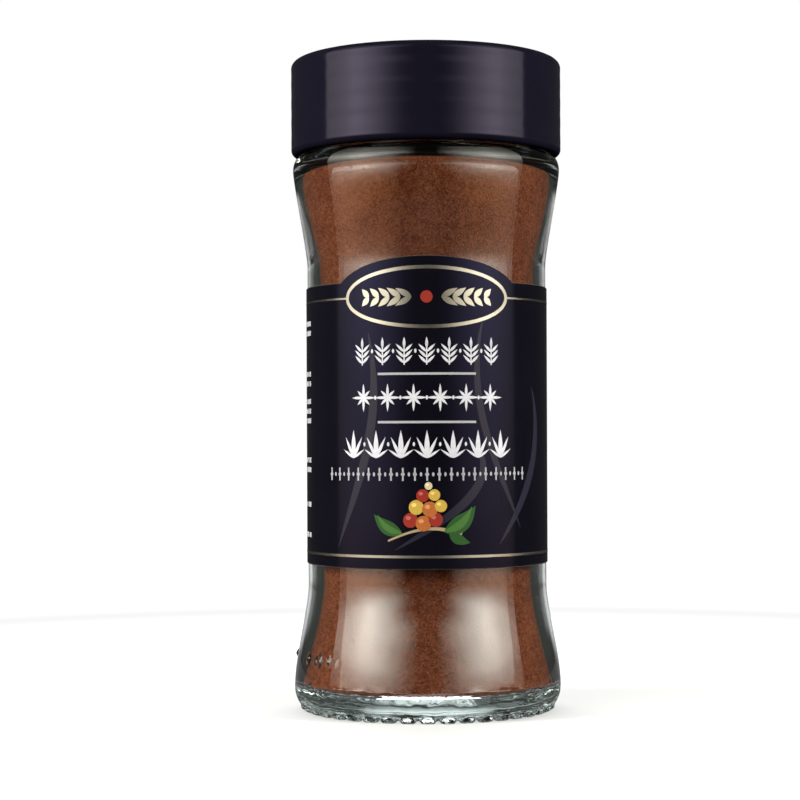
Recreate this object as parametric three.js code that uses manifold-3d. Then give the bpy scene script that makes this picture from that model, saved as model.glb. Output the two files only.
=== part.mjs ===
/**
 * A shut glass spice jar full of ground cloves: flared glass on a ring of small foot pips, a screw cap,
 * a label wrapped round the waist with an arched top edge in front, and the powder that fills the glass.
 *
 * Millimetres, +Z up. The origin is the middle of the foot, on the surface that the jar stands on, and
 * the front of the label faces -Y.
 */
import * as THREE from 'three';
import { mergeVertices } from 'three/addons/utils/BufferGeometryUtils.js';
import Module from 'manifold-3d';

const wasm = await Module();
wasm.setup();

// Facets round every turned piece. They line up from piece to piece, so that thin gaps stay even.
const SIDES = 54;
const MERGE_DISTANCE = 1e-3;

// Outside of the glass, from the foot up.
const HEEL = { radius: 21.7, z: 3.9, roundR: 2.0, roundZ: 3.4 };
const FOOT_RING_Z = HEEL.z - HEEL.roundZ;
const WAIST = { radius: 19.4, bottomZ: 20.4, topZ: 71.8 };
const SHOULDER = { radius: 21.7, z: 87.5, roundR: 1.3, roundZ: 2.3 };
const NECK = { radius: 18.4, bottomZ: 90.8, rimZ: 103.2, rimRound: 0.8 };

// Inside of the glass, from the floor up.
const BORE = { bottom: 20.3, lowWaist: 16.9, highWaist: 17.4, top: 20.3, neck: 16.4 };
const FLOOR = { z: 3.8, corner: 1.0 };
const INNER_WAIST = { bottomZ: 21.2, topZ: 71.2 };
const INNER_SHOULDER = { z: 86.4, roundR: 2.4, roundZ: 2.1, turnDeg: 70 };
const BORE_NECK_Z = 89.6;

// How far each flare stays upright at its wide end and at the waist.
const FLARE = {
  innerBottom: { wide: 0.3, waist: 5.5 },
  innerTop: { wide: 3.5, waist: 2.5 },
  outerTop: { wide: 2.0, waist: 2.5 },
  outerBottom: { wide: 5.0, waist: 4.0 },
};
const FLARE_STEPS = { inner: 5, outer: 5 };
const ROUND_STEPS = { large: 5, cap: 4, small: 3, rim: 2 };

// The hollow under the foot, and the pips that the glass stands on.
const PUSH_UP = { rimRadius: 17.9, rise: 1.8, shoulderRadius: 14.6, shoulderShare: 0.7 };
const FOOT_PIP = { count: 40, ringRadius: 19.4, padRadius: 0.8, rootRadius: 1.25, buried: 0.4, sides: 6 };

// Round pips and a small ring standing out of the heel, on the left of the label's front.
const HEEL_MARK = { z: 9.0, proud: 0.35, buried: 0.8, radius: 0.62, topShare: 0.6, sides: 8 };
const HEEL_RING = { radius: 0.75, tube: 0.24, tubeSides: 6, steps: 12 };
const HEEL_PIP_AZIMUTHS = [-90.0, -63.4, -47.7];
const HEEL_RING_AZIMUTH = -54.8;

// Half-round thread beads: the cap's runs under the glass's.
const THREAD = { bead: 1.0, pitch: 3.6, turns: 1.25, startZ: 94.0, steps: 32, beadSides: 6 };

const CAP = { radius: 22.0, bore: 20.2, bottomZ: 90.0, topZ: 105.2 };
const CAP_EDGE = { top: 1.1, bottom: 0.9, bore: 0.3 };
const CAP_PANEL = { gapToRim: 0.3, innerCorner: 0.8 };

// The label's sheet, and the arch that rises over its front.
const LABEL = { inner: 19.45, outer: 19.65, bottomZ: 23.9, topZ: 68.3, seamGap: 3.0 };
const ARCH = { centreZ: 65.9, halfWidth: 16.0, halfHeight: 6.3, steps: 20 };

// The powder stands 0.1 clear of the glass. Its top is a low crown between the shoulders, made uneven by
// three crossing waves that fade out at its edge.
const POWDER = { gap: 0.1, crown: 0.9, topRings: 4, fadeRate: 3 };
const POWDER_WAVES = [
  { height: 0.35, alongX: 0.31, alongY: 0.0, shift: 0.8 },
  { height: 0.25, alongX: -0.27, alongY: 0.43, shift: 0.0 },
  { height: 0.18, alongX: 0.62, alongY: 0.55, shift: 1.57 },
];

// How far a cutting block reaches past what it cuts.
const OVERCUT = 2.0;

/** Points along part of an ellipse about (centreR, centreZ), angles in degrees from the outward direction. */
function ellipseArc(centreR, centreZ, radiusR, radiusZ, fromDeg, toDeg, steps) {
  const points = [];
  for (let i = 0; i <= steps; i++) {
    const angle = THREE.MathUtils.degToRad(THREE.MathUtils.lerp(fromDeg, toDeg, i / steps));
    points.push(new THREE.Vector2(centreR + radiusR * Math.cos(angle), centreZ + radiusZ * Math.sin(angle)));
  }
  return points;
}

/** Points along part of a circle in the profile, given as an ellipse's are. */
function rounding(centreR, centreZ, radius, fromDeg, toDeg, steps) {
  return ellipseArc(centreR, centreZ, radius, radius, fromDeg, toDeg, steps);
}

/** Points along a flare between two radii, which stays upright for `reach0` and `reach1` at its ends. */
function flare(r0, z0, reach0, r1, z1, reach1, steps) {
  const towards = Math.sign(z1 - z0);
  return new THREE.CubicBezierCurve(
    new THREE.Vector2(r0, z0),
    new THREE.Vector2(r0, z0 + towards * reach0),
    new THREE.Vector2(r1, z1 - towards * reach1),
    new THREE.Vector2(r1, z1),
  ).getPoints(steps);
}

/** A profile of (radius, height) points turned round the Z axis. */
function turned(profile) {
  return new THREE.LatheGeometry(profile, SIDES).rotateX(Math.PI / 2);
}

/** A closed geometry as a solid: shared corners merged, flat triangles dropped and the faces turned out. */
function solidFrom(geometry) {
  const bare = geometry.clone();
  bare.deleteAttribute('normal');
  bare.deleteAttribute('uv');
  const merged = mergeVertices(bare, MERGE_DISTANCE);
  const position = merged.getAttribute('position');
  const index = merged.getIndex();
  const corner = [new THREE.Vector3(), new THREE.Vector3(), new THREE.Vector3()];
  const triangles = [];
  let volume = 0;
  for (let i = 0; i < index.count; i += 3) {
    const triangle = [index.getX(i), index.getX(i + 1), index.getX(i + 2)];
    if (new Set(triangle).size < 3) continue;
    triangle.forEach((vertex, k) => corner[k].fromBufferAttribute(position, vertex));
    volume += corner[0].dot(corner[1].cross(corner[2]));
    triangles.push(...triangle);
  }
  if (volume < 0) triangles.reverse();
  return new wasm.Manifold(new wasm.Mesh({
    numProp: 3,
    vertProperties: Float32Array.from(position.array),
    triVerts: Uint32Array.from(triangles),
  }));
}

/** A solid as a mesh with its own material. */
function meshFrom(name, solid, material) {
  const { vertProperties, triVerts } = solid.getMesh();
  const geometry = new THREE.BufferGeometry();
  geometry.setAttribute('position', new THREE.BufferAttribute(vertProperties, 3));
  geometry.setIndex(new THREE.BufferAttribute(triVerts, 1));
  geometry.computeVertexNormals();
  const mesh = new THREE.Mesh(geometry, new THREE.MeshStandardMaterial(material));
  mesh.name = name;
  return mesh;
}

/** The line that a thread bead's middle follows, right-handed. */
class Helix extends THREE.Curve {
  constructor(radius, startZ) {
    super();
    this.radius = radius;
    this.startZ = startZ;
  }

  getPoint(t, target = new THREE.Vector3()) {
    const angle = 2 * Math.PI * THREAD.turns * t;
    const z = this.startZ + THREAD.pitch * THREAD.turns * t;
    return target.set(this.radius * Math.cos(angle), this.radius * Math.sin(angle), z);
  }
}

/** A round bead wound at the given radius: half of it shows once it is joined to a wall there. */
function threadBead(radius, startZ) {
  const section = new THREE.Shape();
  for (let i = 0; i < THREAD.beadSides; i++) {
    const angle = 2 * Math.PI * (i + 0.5) / THREAD.beadSides;
    const place = [THREAD.bead * Math.cos(angle), THREAD.bead * Math.sin(angle)];
    if (i === 0) section.moveTo(...place);
    else section.lineTo(...place);
  }
  const path = new Helix(radius, startZ);
  return solidFrom(new THREE.ExtrudeGeometry(section, { steps: THREAD.steps, extrudePath: path }));
}

/** The inside line of the glass from the middle of its floor to its shoulder, moved in by `gap`. */
function insideLine(gap) {
  const bottom = BORE.bottom - gap;
  const top = BORE.top - gap;
  const cornerZ = FLOOR.z + FLOOR.corner;
  const innerShoulderTopZ = INNER_SHOULDER.z + INNER_SHOULDER.roundZ - gap;
  return [
    new THREE.Vector2(0, FLOOR.z + gap),
    ...ellipseArc(bottom - FLOOR.corner, cornerZ, FLOOR.corner, FLOOR.corner - gap, -90, 0,
      ROUND_STEPS.small),
    ...flare(bottom, cornerZ, FLARE.innerBottom.wide, BORE.lowWaist - gap, INNER_WAIST.bottomZ,
      FLARE.innerBottom.waist, FLARE_STEPS.inner).slice(1),
    ...flare(BORE.highWaist - gap, INNER_WAIST.topZ, FLARE.innerTop.waist, top, INNER_SHOULDER.z,
      FLARE.innerTop.wide, FLARE_STEPS.inner),
    ...ellipseArc(top - INNER_SHOULDER.roundR, INNER_SHOULDER.z, INNER_SHOULDER.roundR,
      innerShoulderTopZ - INNER_SHOULDER.z, 0, INNER_SHOULDER.turnDeg, ROUND_STEPS.small).slice(1),
  ];
}

/** The outside line of the glass from its rim down to the middle of the hollow under the foot. */
function outsideLine() {
  return [
    new THREE.Vector2(NECK.radius, NECK.bottomZ),
    ...ellipseArc(SHOULDER.radius - SHOULDER.roundR, SHOULDER.z, SHOULDER.roundR, SHOULDER.roundZ, 90, 0,
      ROUND_STEPS.large),
    ...flare(SHOULDER.radius, SHOULDER.z, FLARE.outerTop.wide, WAIST.radius, WAIST.topZ,
      FLARE.outerTop.waist, FLARE_STEPS.outer).slice(1),
    ...flare(WAIST.radius, WAIST.bottomZ, FLARE.outerBottom.waist, HEEL.radius, HEEL.z,
      FLARE.outerBottom.wide, FLARE_STEPS.outer),
    ...ellipseArc(HEEL.radius - HEEL.roundR, HEEL.z, HEEL.roundR, HEEL.roundZ, 0, -90,
      ROUND_STEPS.large).slice(1),
    new THREE.Vector2(PUSH_UP.rimRadius, FOOT_RING_Z),
    new THREE.Vector2(PUSH_UP.shoulderRadius, FOOT_RING_Z + PUSH_UP.shoulderShare * PUSH_UP.rise),
    new THREE.Vector2(0, FOOT_RING_Z + PUSH_UP.rise),
  ];
}

/** The neck's bore and its rounded rim, over to the outside of the neck. */
function neckLine() {
  const z = NECK.rimZ - NECK.rimRound;
  const round = NECK.rimRound;
  return [
    new THREE.Vector2(BORE.neck, BORE_NECK_Z),
    ...rounding(BORE.neck + round, z, round, 180, 90, ROUND_STEPS.rim),
    ...rounding(NECK.radius - round, z, round, 90, 0, ROUND_STEPS.rim),
  ];
}

/** One pip under the foot, wider where it joins the glass, with a flat pad at height 0. */
function footPip(index) {
  const height = FOOT_RING_Z + FOOT_PIP.buried;
  const pip = new THREE.CylinderGeometry(FOOT_PIP.rootRadius, FOOT_PIP.padRadius, height, FOOT_PIP.sides);
  pip.rotateX(Math.PI / 2).translate(FOOT_PIP.ringRadius, 0, height / 2);
  return solidFrom(pip.rotateZ(2 * Math.PI * index / FOOT_PIP.count));
}

/** Turns a mark made along +X round to its azimuth, counted in degrees from the front towards +X. */
function atAzimuth(geometry, degrees) {
  return geometry.rotateZ(THREE.MathUtils.degToRad(degrees - 90));
}

/** Radius of the lower flare's outside at a height, read off the same line that the glass is turned from. */
function flareRadiusAt(z) {
  const line = outsideLine();
  const upper = line.findIndex((point) => point.y < z && point.x > WAIST.radius);
  const [above, below] = [line[upper - 1], line[upper]];
  return THREE.MathUtils.mapLinear(z, above.y, below.y, above.x, below.x);
}

/** The pips and the ring that stand out of the heel. */
function heelMarks() {
  const wall = flareRadiusAt(HEEL_MARK.z);
  const height = HEEL_MARK.proud + HEEL_MARK.buried;
  const pips = HEEL_PIP_AZIMUTHS.map((azimuth) => {
    const topRadius = HEEL_MARK.topShare * HEEL_MARK.radius;
    const pip = new THREE.CylinderGeometry(topRadius, HEEL_MARK.radius, height, HEEL_MARK.sides);
    pip.rotateZ(-Math.PI / 2).translate(wall + HEEL_MARK.proud - height / 2, 0, HEEL_MARK.z);
    return solidFrom(atAzimuth(pip, azimuth));
  });
  const { radius, tube, tubeSides, steps } = HEEL_RING;
  const ring = new THREE.TorusGeometry(radius, tube, tubeSides, steps);
  ring.rotateY(Math.PI / 2).translate(wall, 0, HEEL_MARK.z);
  return [...pips, solidFrom(atAzimuth(ring, HEEL_RING_AZIMUTH))];
}

function buildGlassJar() {
  const profile = [...insideLine(0), ...neckLine(), ...outsideLine()];
  const additions = [threadBead(NECK.radius, THREAD.startZ), ...heelMarks()];
  for (let i = 0; i < FOOT_PIP.count; i++) additions.push(footPip(i));
  const glass = additions.reduce((body, piece) => body.add(piece), solidFrom(turned(profile)));
  const finish = { color: 0xd5ddd8, roughness: 0.05, metalness: 0, transparent: true, opacity: 0.4 };
  return meshFrom('glass_jar', glass, finish);
}

/** Height of the powder's uneven top over its crown, `share` of the way out to its edge. */
function powderRelief(x, y, share) {
  const total = POWDER_WAVES.reduce(
    (sum, wave) => sum + wave.height * Math.sin(wave.alongX * x + wave.alongY * y + wave.shift),
    0,
  );
  return total * Math.min(1, POWDER.fadeRate * (1 - share));
}

function buildPowder() {
  const profile = insideLine(POWDER.gap);
  const edge = profile[profile.length - 1];
  for (let i = 1; i <= POWDER.topRings; i++) {
    const share = 1 - i / POWDER.topRings;
    profile.push(new THREE.Vector2(edge.x * share, edge.y + POWDER.crown * (1 - share * share)));
  }
  const geometry = turned(profile);
  const position = geometry.getAttribute('position');
  for (let i = 0; i < position.count; i++) {
    const [x, y, z] = [position.getX(i), position.getY(i), position.getZ(i)];
    if (z > edge.y) position.setZ(i, z + powderRelief(x, y, Math.hypot(x, y) / edge.x));
  }
  return meshFrom('ground_cloves', solidFrom(geometry), { color: 0x6c3e27, roughness: 0.95, metalness: 0 });
}

function buildCap() {
  const { radius, bore, bottomZ, topZ } = CAP;
  const panelZ = NECK.rimZ + CAP_PANEL.gapToRim;
  const corner = CAP_PANEL.innerCorner;
  const profile = [
    new THREE.Vector2(0, topZ),
    ...rounding(radius - CAP_EDGE.top, topZ - CAP_EDGE.top, CAP_EDGE.top, 90, 0, ROUND_STEPS.cap),
    ...rounding(radius - CAP_EDGE.bottom, bottomZ + CAP_EDGE.bottom, CAP_EDGE.bottom, 0, -90,
      ROUND_STEPS.small),
    ...rounding(bore + CAP_EDGE.bore, bottomZ + CAP_EDGE.bore, CAP_EDGE.bore, -90, -180, ROUND_STEPS.rim),
    ...rounding(bore - corner, panelZ - corner, corner, 0, 90, ROUND_STEPS.rim),
    new THREE.Vector2(0, panelZ),
  ];
  const shell = solidFrom(turned(profile));
  const bead = threadBead(bore, THREAD.startZ - THREAD.pitch / 2);
  return meshFrom('cap', shell.add(bead), { color: 0x1d1b28, roughness: 0.25, metalness: 0 });
}

/** The elliptical outline of the label's arch as a slab that reaches out over the front of the jar only. */
function archSlab() {
  const outline = new THREE.Shape();
  for (let i = 0; i <= 2 * ARCH.steps; i++) {
    const angle = Math.PI * i / ARCH.steps;
    const along = ARCH.halfWidth * Math.cos(angle);
    const x = LABEL.outer * Math.sin(along / LABEL.outer);
    const z = ARCH.centreZ + ARCH.halfHeight * Math.sin(angle);
    if (i === 0) outline.moveTo(x, z);
    else outline.lineTo(x, z);
  }
  const slab = new THREE.ExtrudeGeometry(outline, { depth: 2 * LABEL.outer, bevelEnabled: false });
  return solidFrom(slab.rotateX(Math.PI / 2));
}

function buildLabel() {
  const archTopZ = ARCH.centreZ + ARCH.halfHeight;
  const ring = [
    new THREE.Vector2(LABEL.inner, LABEL.bottomZ),
    new THREE.Vector2(LABEL.outer, LABEL.bottomZ),
    new THREE.Vector2(LABEL.outer, archTopZ + OVERCUT),
    new THREE.Vector2(LABEL.inner, archTopZ + OVERCUT),
    new THREE.Vector2(LABEL.inner, LABEL.bottomZ),
  ];
  const bandWidth = 2 * (LABEL.outer + OVERCUT);
  const bandHeight = LABEL.topZ - LABEL.bottomZ + OVERCUT;
  const band = new THREE.BoxGeometry(bandWidth, bandWidth, bandHeight);
  band.translate(0, 0, LABEL.topZ - bandHeight / 2);
  const seam = new THREE.BoxGeometry(LABEL.seamGap, LABEL.outer, 2 * archTopZ);
  seam.translate(0, LABEL.outer, archTopZ);
  const kept = solidFrom(band).add(archSlab());
  const sheet = solidFrom(turned(ring)).intersect(kept).subtract(solidFrom(seam));
  return meshFrom('label', sheet, { color: 0x1f1d2a, roughness: 0.45, metalness: 0 });
}

const jar = new THREE.Group();
jar.add(buildGlassJar(), buildPowder(), buildCap(), buildLabel());

export default jar;
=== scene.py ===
"""A shut glass spice jar full of ground cloves, as it looks: glass, powder, screw cap, label and print.

Metres, +Z up. The jar stands on z = 0 with its axis on Z, and the front of the label faces -Y. Sizes
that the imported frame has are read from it, and the others repeat the part's own named sizes.
"""

import logging
import math
from dataclasses import dataclass, field, replace
from enum import Enum
from typing import Any, Callable, Optional, Sequence, Union

import bpy
import numpy as np
from mathutils import Euler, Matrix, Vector, noise


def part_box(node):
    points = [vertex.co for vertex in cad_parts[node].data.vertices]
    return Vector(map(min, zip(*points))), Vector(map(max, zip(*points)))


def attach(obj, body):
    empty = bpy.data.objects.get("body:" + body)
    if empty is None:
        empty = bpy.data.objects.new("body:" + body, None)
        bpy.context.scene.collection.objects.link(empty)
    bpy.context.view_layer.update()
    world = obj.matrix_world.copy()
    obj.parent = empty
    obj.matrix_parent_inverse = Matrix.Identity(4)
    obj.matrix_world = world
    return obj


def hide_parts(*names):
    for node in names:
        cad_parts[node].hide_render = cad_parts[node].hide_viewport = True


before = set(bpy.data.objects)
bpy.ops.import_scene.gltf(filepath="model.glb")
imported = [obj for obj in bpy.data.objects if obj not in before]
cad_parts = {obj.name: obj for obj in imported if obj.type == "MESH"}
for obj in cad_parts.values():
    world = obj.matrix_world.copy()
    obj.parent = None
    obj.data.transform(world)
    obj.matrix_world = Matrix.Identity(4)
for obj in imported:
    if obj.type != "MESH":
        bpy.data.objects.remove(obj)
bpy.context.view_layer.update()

log = logging.getLogger("spice_jar")

BODY = "root"
MM = 0.001
FULL_TURN = 2 * math.pi
FRONT = -math.pi / 2
SAME_POINT = 1e-7
SAME_PLACE = 1e-6
THINNEST = 0.004 * MM
ALL_SMOOTH = 180.0
INK = "ink"
GLOW = "glow"
TONE = "tone"

Colour = tuple[float, float, float]
Array = np.ndarray


# ---------------------------------------------------------------- node trees


class Number:
    """A number socket that takes part in sums written as Python expressions."""

    def __init__(self, tree: "Tree", socket: bpy.types.NodeSocket) -> None:
        """Holds a socket.

        Args:
            tree: the tree that the socket is in.
            socket: the output that gives the number.
        """
        self.tree = tree
        self.socket = socket

    def maths(self, operation: str, *values: Any) -> "Number":
        """Adds a Math node.

        Args:
            operation: the node's operation.
            values: its inputs in order, as numbers or Number.

        Returns:
            The node's result.
        """
        made = self.tree.node("ShaderNodeMath", {"operation": operation}, dict(enumerate(values)))
        return Number(self.tree, made.outputs[0])

    def __add__(self, other: Any) -> "Number":
        """Sum."""
        return self.maths("ADD", self, other)

    def __radd__(self, other: Any) -> "Number":
        """Sum, from the right."""
        return self.maths("ADD", other, self)

    def __sub__(self, other: Any) -> "Number":
        """Difference."""
        return self.maths("SUBTRACT", self, other)

    def __rsub__(self, other: Any) -> "Number":
        """Difference, from the right."""
        return self.maths("SUBTRACT", other, self)

    def __mul__(self, other: Any) -> "Number":
        """Product."""
        return self.maths("MULTIPLY", self, other)

    def __rmul__(self, other: Any) -> "Number":
        """Product, from the right."""
        return self.maths("MULTIPLY", other, self)

    def __truediv__(self, other: Any) -> "Number":
        """Quotient."""
        return self.maths("DIVIDE", self, other)

    def __rtruediv__(self, other: Any) -> "Number":
        """Quotient, from the right."""
        return self.maths("DIVIDE", other, self)

    def sine(self) -> "Number":
        """Sine of an angle in radians."""
        return self.maths("SINE", self)

    def cosine(self) -> "Number":
        """Cosine of an angle in radians."""
        return self.maths("COSINE", self)

    def above(self, limit: float) -> "Number":
        """1 where the number is over the limit, else 0."""
        return self.maths("GREATER_THAN", self, limit)

    def ramp(self, low: float, high: float) -> "Number":
        """A smooth step from 0 at low to 1 at high."""
        settings = {"interpolation_type": "SMOOTHSTEP"}
        made = self.tree.node("ShaderNodeMapRange", settings, {0: self, 1: low, 2: high})
        return Number(self.tree, made.outputs[0])


class Tree:
    """The nodes of one shader or geometry tree, added by plain calls."""

    def __init__(self, tree: bpy.types.NodeTree) -> None:
        """Holds a tree and empties it."""
        self.tree = tree
        tree.nodes.clear()

    def feed(self, socket: bpy.types.NodeSocket, value: Any) -> None:
        """Sets or links one input.

        Args:
            socket: the input.
            value: a plain value, a socket or a Number.
        """
        if isinstance(value, Number):
            value = value.socket
        if isinstance(value, bpy.types.NodeSocket):
            self.tree.links.new(value, socket)
        else:
            socket.default_value = value

    def node(
        self,
        kind: str,
        settings: Optional[dict[str, Any]] = None,
        inputs: Optional[dict[Union[str, int], Any]] = None,
    ) -> bpy.types.Node:
        """Adds a node.

        Args:
            kind: the node's type.
            settings: its properties, set first.
            inputs: values or links for its sockets, by name or index.

        Returns:
            The node.
        """
        made = self.tree.nodes.new(kind)
        for name, value in (settings or {}).items():
            setattr(made, name, value)
        for key, value in (inputs or {}).items():
            self.feed(made.inputs[key], value)
        return made

    def number(self, socket: bpy.types.NodeSocket) -> Number:
        """A socket as a Number."""
        return Number(self, socket)

    def colour(self, rgb: Colour) -> tuple[float, float, float, float]:
        """A colour with full alpha, for a colour socket."""
        return (*rgb, 1.0)

    def mix(self, factor: Any, first: Any, second: Any) -> bpy.types.NodeSocket:
        """Mixes two colours.

        Args:
            factor: share of the second colour.
            first: colour or socket.
            second: colour or socket.

        Returns:
            The mixed colour's socket.
        """
        plain = [self.colour(c) if isinstance(c, tuple) and len(c) == 3 else c for c in (first, second)]
        made = self.node("ShaderNodeMix", {"data_type": "RGBA"}, {0: factor, 6: plain[0], 7: plain[1]})
        return made.outputs[2]


class Shader:
    """One material: its tree, its Principled shader and its place in Object coordinates."""

    def __init__(self, name: str, constants: dict[str, Any]) -> None:
        """Makes the material.

        Args:
            name: the material's name.
            constants: values set on the Principled shader's own sockets.
        """
        self.material = bpy.data.materials.new(name)
        self.material.use_nodes = True
        self.tree = Tree(self.material.node_tree)
        self.principled = self.tree.node("ShaderNodeBsdfPrincipled", inputs=constants)
        self.output = self.tree.node("ShaderNodeOutputMaterial", inputs={0: self.principled.outputs[0]})
        self.place = self.tree.node("ShaderNodeTexCoord").outputs["Object"]

    def noise(self, scale: float, detail: float = 2.0, roughness: float = 0.5) -> Number:
        """Noise over the surface.

        Args:
            scale: cycles for each metre.
            detail: octaves.
            roughness: weight of the finer octaves.

        Returns:
            The noise, from 0 to 1.
        """
        inputs = {"Vector": self.place, "Scale": scale, "Detail": detail, "Roughness": roughness}
        return self.tree.number(self.tree.node("ShaderNodeTexNoise", inputs=inputs).outputs[0])

    def cells(self, scale: float) -> tuple[Number, Number, Number]:
        """Random cells over the surface.

        Args:
            scale: cells for each metre.

        Returns:
            Distance from the cell's middle, and two random numbers for each cell.
        """
        made = self.tree.node("ShaderNodeTexVoronoi", inputs={"Vector": self.place, "Scale": scale})
        parts = self.tree.node("ShaderNodeSeparateColor", inputs={0: made.outputs["Color"]})
        return tuple(self.tree.number(s) for s in (made.outputs["Distance"], *parts.outputs[:2]))

    def bump(self, height: Number, depth: float, strength: float = 1.0) -> None:
        """Joins a height to the shader's normal.

        Args:
            height: the height, from 0 to 1.
            depth: metres that a height of 1 stands for.
            strength: share of the bump that is used.
        """
        inputs = {"Height": height, "Distance": depth, "Strength": strength}
        made = self.tree.node("ShaderNodeBump", inputs=inputs)
        self.tree.feed(self.principled.inputs["Normal"], made.outputs[0])

    def feed(self, name: str, value: Any) -> None:
        """Joins a value that changes over the surface to one of the shader's sockets."""
        self.tree.feed(self.principled.inputs[name], value)


# ---------------------------------------------------------------- finishes


@dataclass(frozen=True)
class ClearGlass:
    """Clear container glass with a faint grey-green body, which lets light straight through to the powder."""

    ior: float = 1.5
    absorption: float = 24.0
    body: Colour = (0.80, 0.97, 0.93)
    shade: Colour = (0.95, 0.97, 0.96)

    def material(self) -> bpy.types.Material:
        """The finish as a material."""
        constants = {"Base Color": (1, 1, 1, 1), "Roughness": 0.0, "IOR": self.ior,
                     "Transmission Weight": 1.0}
        made = Shader("clear_glass", constants)
        tree = made.tree
        light = tree.node("ShaderNodeLightPath")
        clear = tree.node("ShaderNodeBsdfTransparent", inputs={0: tree.colour(self.shade)})
        inputs = {0: light.outputs["Is Shadow Ray"], 1: made.principled.outputs[0], 2: clear.outputs[0]}
        tree.feed(made.output.inputs["Surface"], tree.node("ShaderNodeMixShader", inputs=inputs).outputs[0])
        inside = {"Color": tree.colour(self.body), "Density": self.absorption}
        body = tree.node("ShaderNodeVolumeAbsorption", inputs=inside)
        tree.feed(made.output.inputs["Volume"], body.outputs[0])
        return made.material


@dataclass(frozen=True)
class GroundCloves:
    """Dry brown powder: fine specks of dark husk and pale dust in a mottled brown."""

    name: str = "ground_cloves"
    dark: Colour = (0.087, 0.0207, 0.0084)
    light: Colour = (0.205, 0.062, 0.0265)
    husk: Colour = (0.038, 0.010, 0.0055)
    dust: Colour = (0.30, 0.13, 0.065)
    grain: float = 4200.0
    clump: float = 900.0
    mottle: float = 120.0
    grain_weight: float = 0.42
    clump_weight: float = 0.75
    mottle_weight: float = 0.6
    middle_tone: float = 0.29
    husk_above: float = 0.88
    husk_cover: float = 0.6
    dust_above: float = 0.975
    dust_cover: float = 0.35
    clump_height: float = 0.6
    depth: float = 0.08 * MM
    loose: bool = False

    def material(self) -> bpy.types.Material:
        """The finish as a material."""
        made = Shader(self.name, {"Roughness": 0.95, "Specular IOR Level": 0.1})
        tree = made.tree
        distance, first, second = made.cells(self.grain)
        clump = made.noise(self.clump, 3.0, 0.6)
        mottle = made.noise(self.mottle)
        tone = self.grain_weight * first + self.clump_weight * (clump - 0.5)
        tone = tone + self.mottle_weight * (mottle - 0.5) + self.middle_tone
        if self.loose:
            own = tree.node("ShaderNodeAttribute", {"attribute_name": TONE})
            tone = tone * 0.5 + tree.number(own.outputs["Fac"]) * 0.5
        brown = tree.mix(tone.ramp(0.1, 0.95), self.dark, self.light)
        husked = tree.mix(second.above(self.husk_above) * self.husk_cover, brown, self.husk)
        dusty = (1 - second).above(self.dust_above) * self.dust_cover
        made.feed("Base Color", tree.mix(dusty, husked, self.dust))
        made.bump(clump * self.clump_height + distance, self.depth)
        return made.material


@dataclass(frozen=True)
class Plastic:
    """Smooth plastic, nearly black, with a tinted and slightly uneven shine."""

    name: str
    base: Colour
    sheen: Colour
    gloss: float
    roughness: float
    flow: float
    fine: float
    brighter: float
    patchy: float
    uneven: tuple[float, float]
    depth: float
    relief: float

    def material(self) -> bpy.types.Material:
        """The finish as a material."""
        made = Shader(self.name, {"Specular IOR Level": self.gloss, "Specular Tint": (*self.sheen, 1)})
        flow, fine = made.noise(self.flow, 3.0), made.noise(self.fine)
        bright = tuple(self.brighter * c for c in self.base)
        made.feed("Base Color", made.tree.mix(flow.ramp(0.3, 0.7) * self.patchy, self.base, bright))
        flow_share, fine_share = self.uneven
        made.feed("Roughness", self.roughness + flow_share * (flow - 0.5) + fine_share * (fine - 0.5))
        made.bump(fine, self.depth, self.relief)
        return made.material


CAP_PLASTIC = Plastic(
    "cap_plastic", base=(0.0042, 0.0038, 0.0078), sheen=(0.76, 0.655, 1.0), gloss=0.168, roughness=0.12,
    flow=160.0, fine=2600.0, brighter=1.25, patchy=0.5, uneven=(0.05, 0.03), depth=0.0015 * MM, relief=0.6,
)
# Painted shade: a matt copy of the cap's plastic with no shine, put on the cap's bottom edge so that it looks
# shaded there.
CAP_PAINTED_SHADE = replace(CAP_PLASTIC, name="cap_painted_shade", gloss=0.0, roughness=0.6)
LABEL_FILM = Plastic(
    "label_film", base=(0.0025, 0.0022, 0.0040), sheen=(0.46, 0.45, 1.0), gloss=0.155, roughness=0.15,
    flow=60.0, fine=1500.0, brighter=1.35, patchy=0.6, uneven=(0.06, 0.05), depth=0.002 * MM, relief=0.5,
)


@dataclass(frozen=True)
class Ink:
    """Ink printed on the film: one colour, or the shape's own where it has an ink attribute."""

    name: str
    base: Colour = (1.0, 1.0, 1.0)
    gloss: float = 0.2
    roughness: float = 0.5
    metallic: float = 0.0
    own_colours: bool = False
    film: Colour = (0.02, 0.02, 0.03)
    worn: float = 0.25

    def material(self) -> bpy.types.Material:
        """The finish as a material."""
        made = Shader(self.name, {"Specular IOR Level": self.gloss, "Metallic": self.metallic})
        tree = made.tree
        grain, flow = made.noise(2400.0), made.noise(350.0)
        base: Any = self.base
        if self.own_colours:
            base = tree.node("ShaderNodeAttribute", {"attribute_name": INK}).outputs["Color"]
        worn = tree.mix(self.worn, base, self.film)
        made.feed("Base Color", tree.mix(grain.ramp(0.35, 0.75) * 0.5, base, worn))
        made.feed("Roughness", self.roughness + 0.12 * (flow - 0.5))
        made.bump(grain, 0.003 * MM, 0.5)
        return made.material


FILM_EDGE = Ink("film_margin", (0.045, 0.035, 0.032), gloss=0.1, roughness=0.3)
FOIL = Ink("foil", (0.36, 0.335, 0.28), gloss=0.5, roughness=0.32, metallic=1.0)
SILVER_INK = Ink("silver_ink", (0.47, 0.47, 0.50))
GREY_INK = Ink("grey_ink", (0.29, 0.29, 0.31))
FAINT_INK = Ink("faint_ink", (0.0135, 0.0125, 0.0205), gloss=0.12, roughness=0.25)
PICTURE_INK = Ink("picture_ink", own_colours=True)


# ---------------------------------------------------------------- turned shapes


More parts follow.
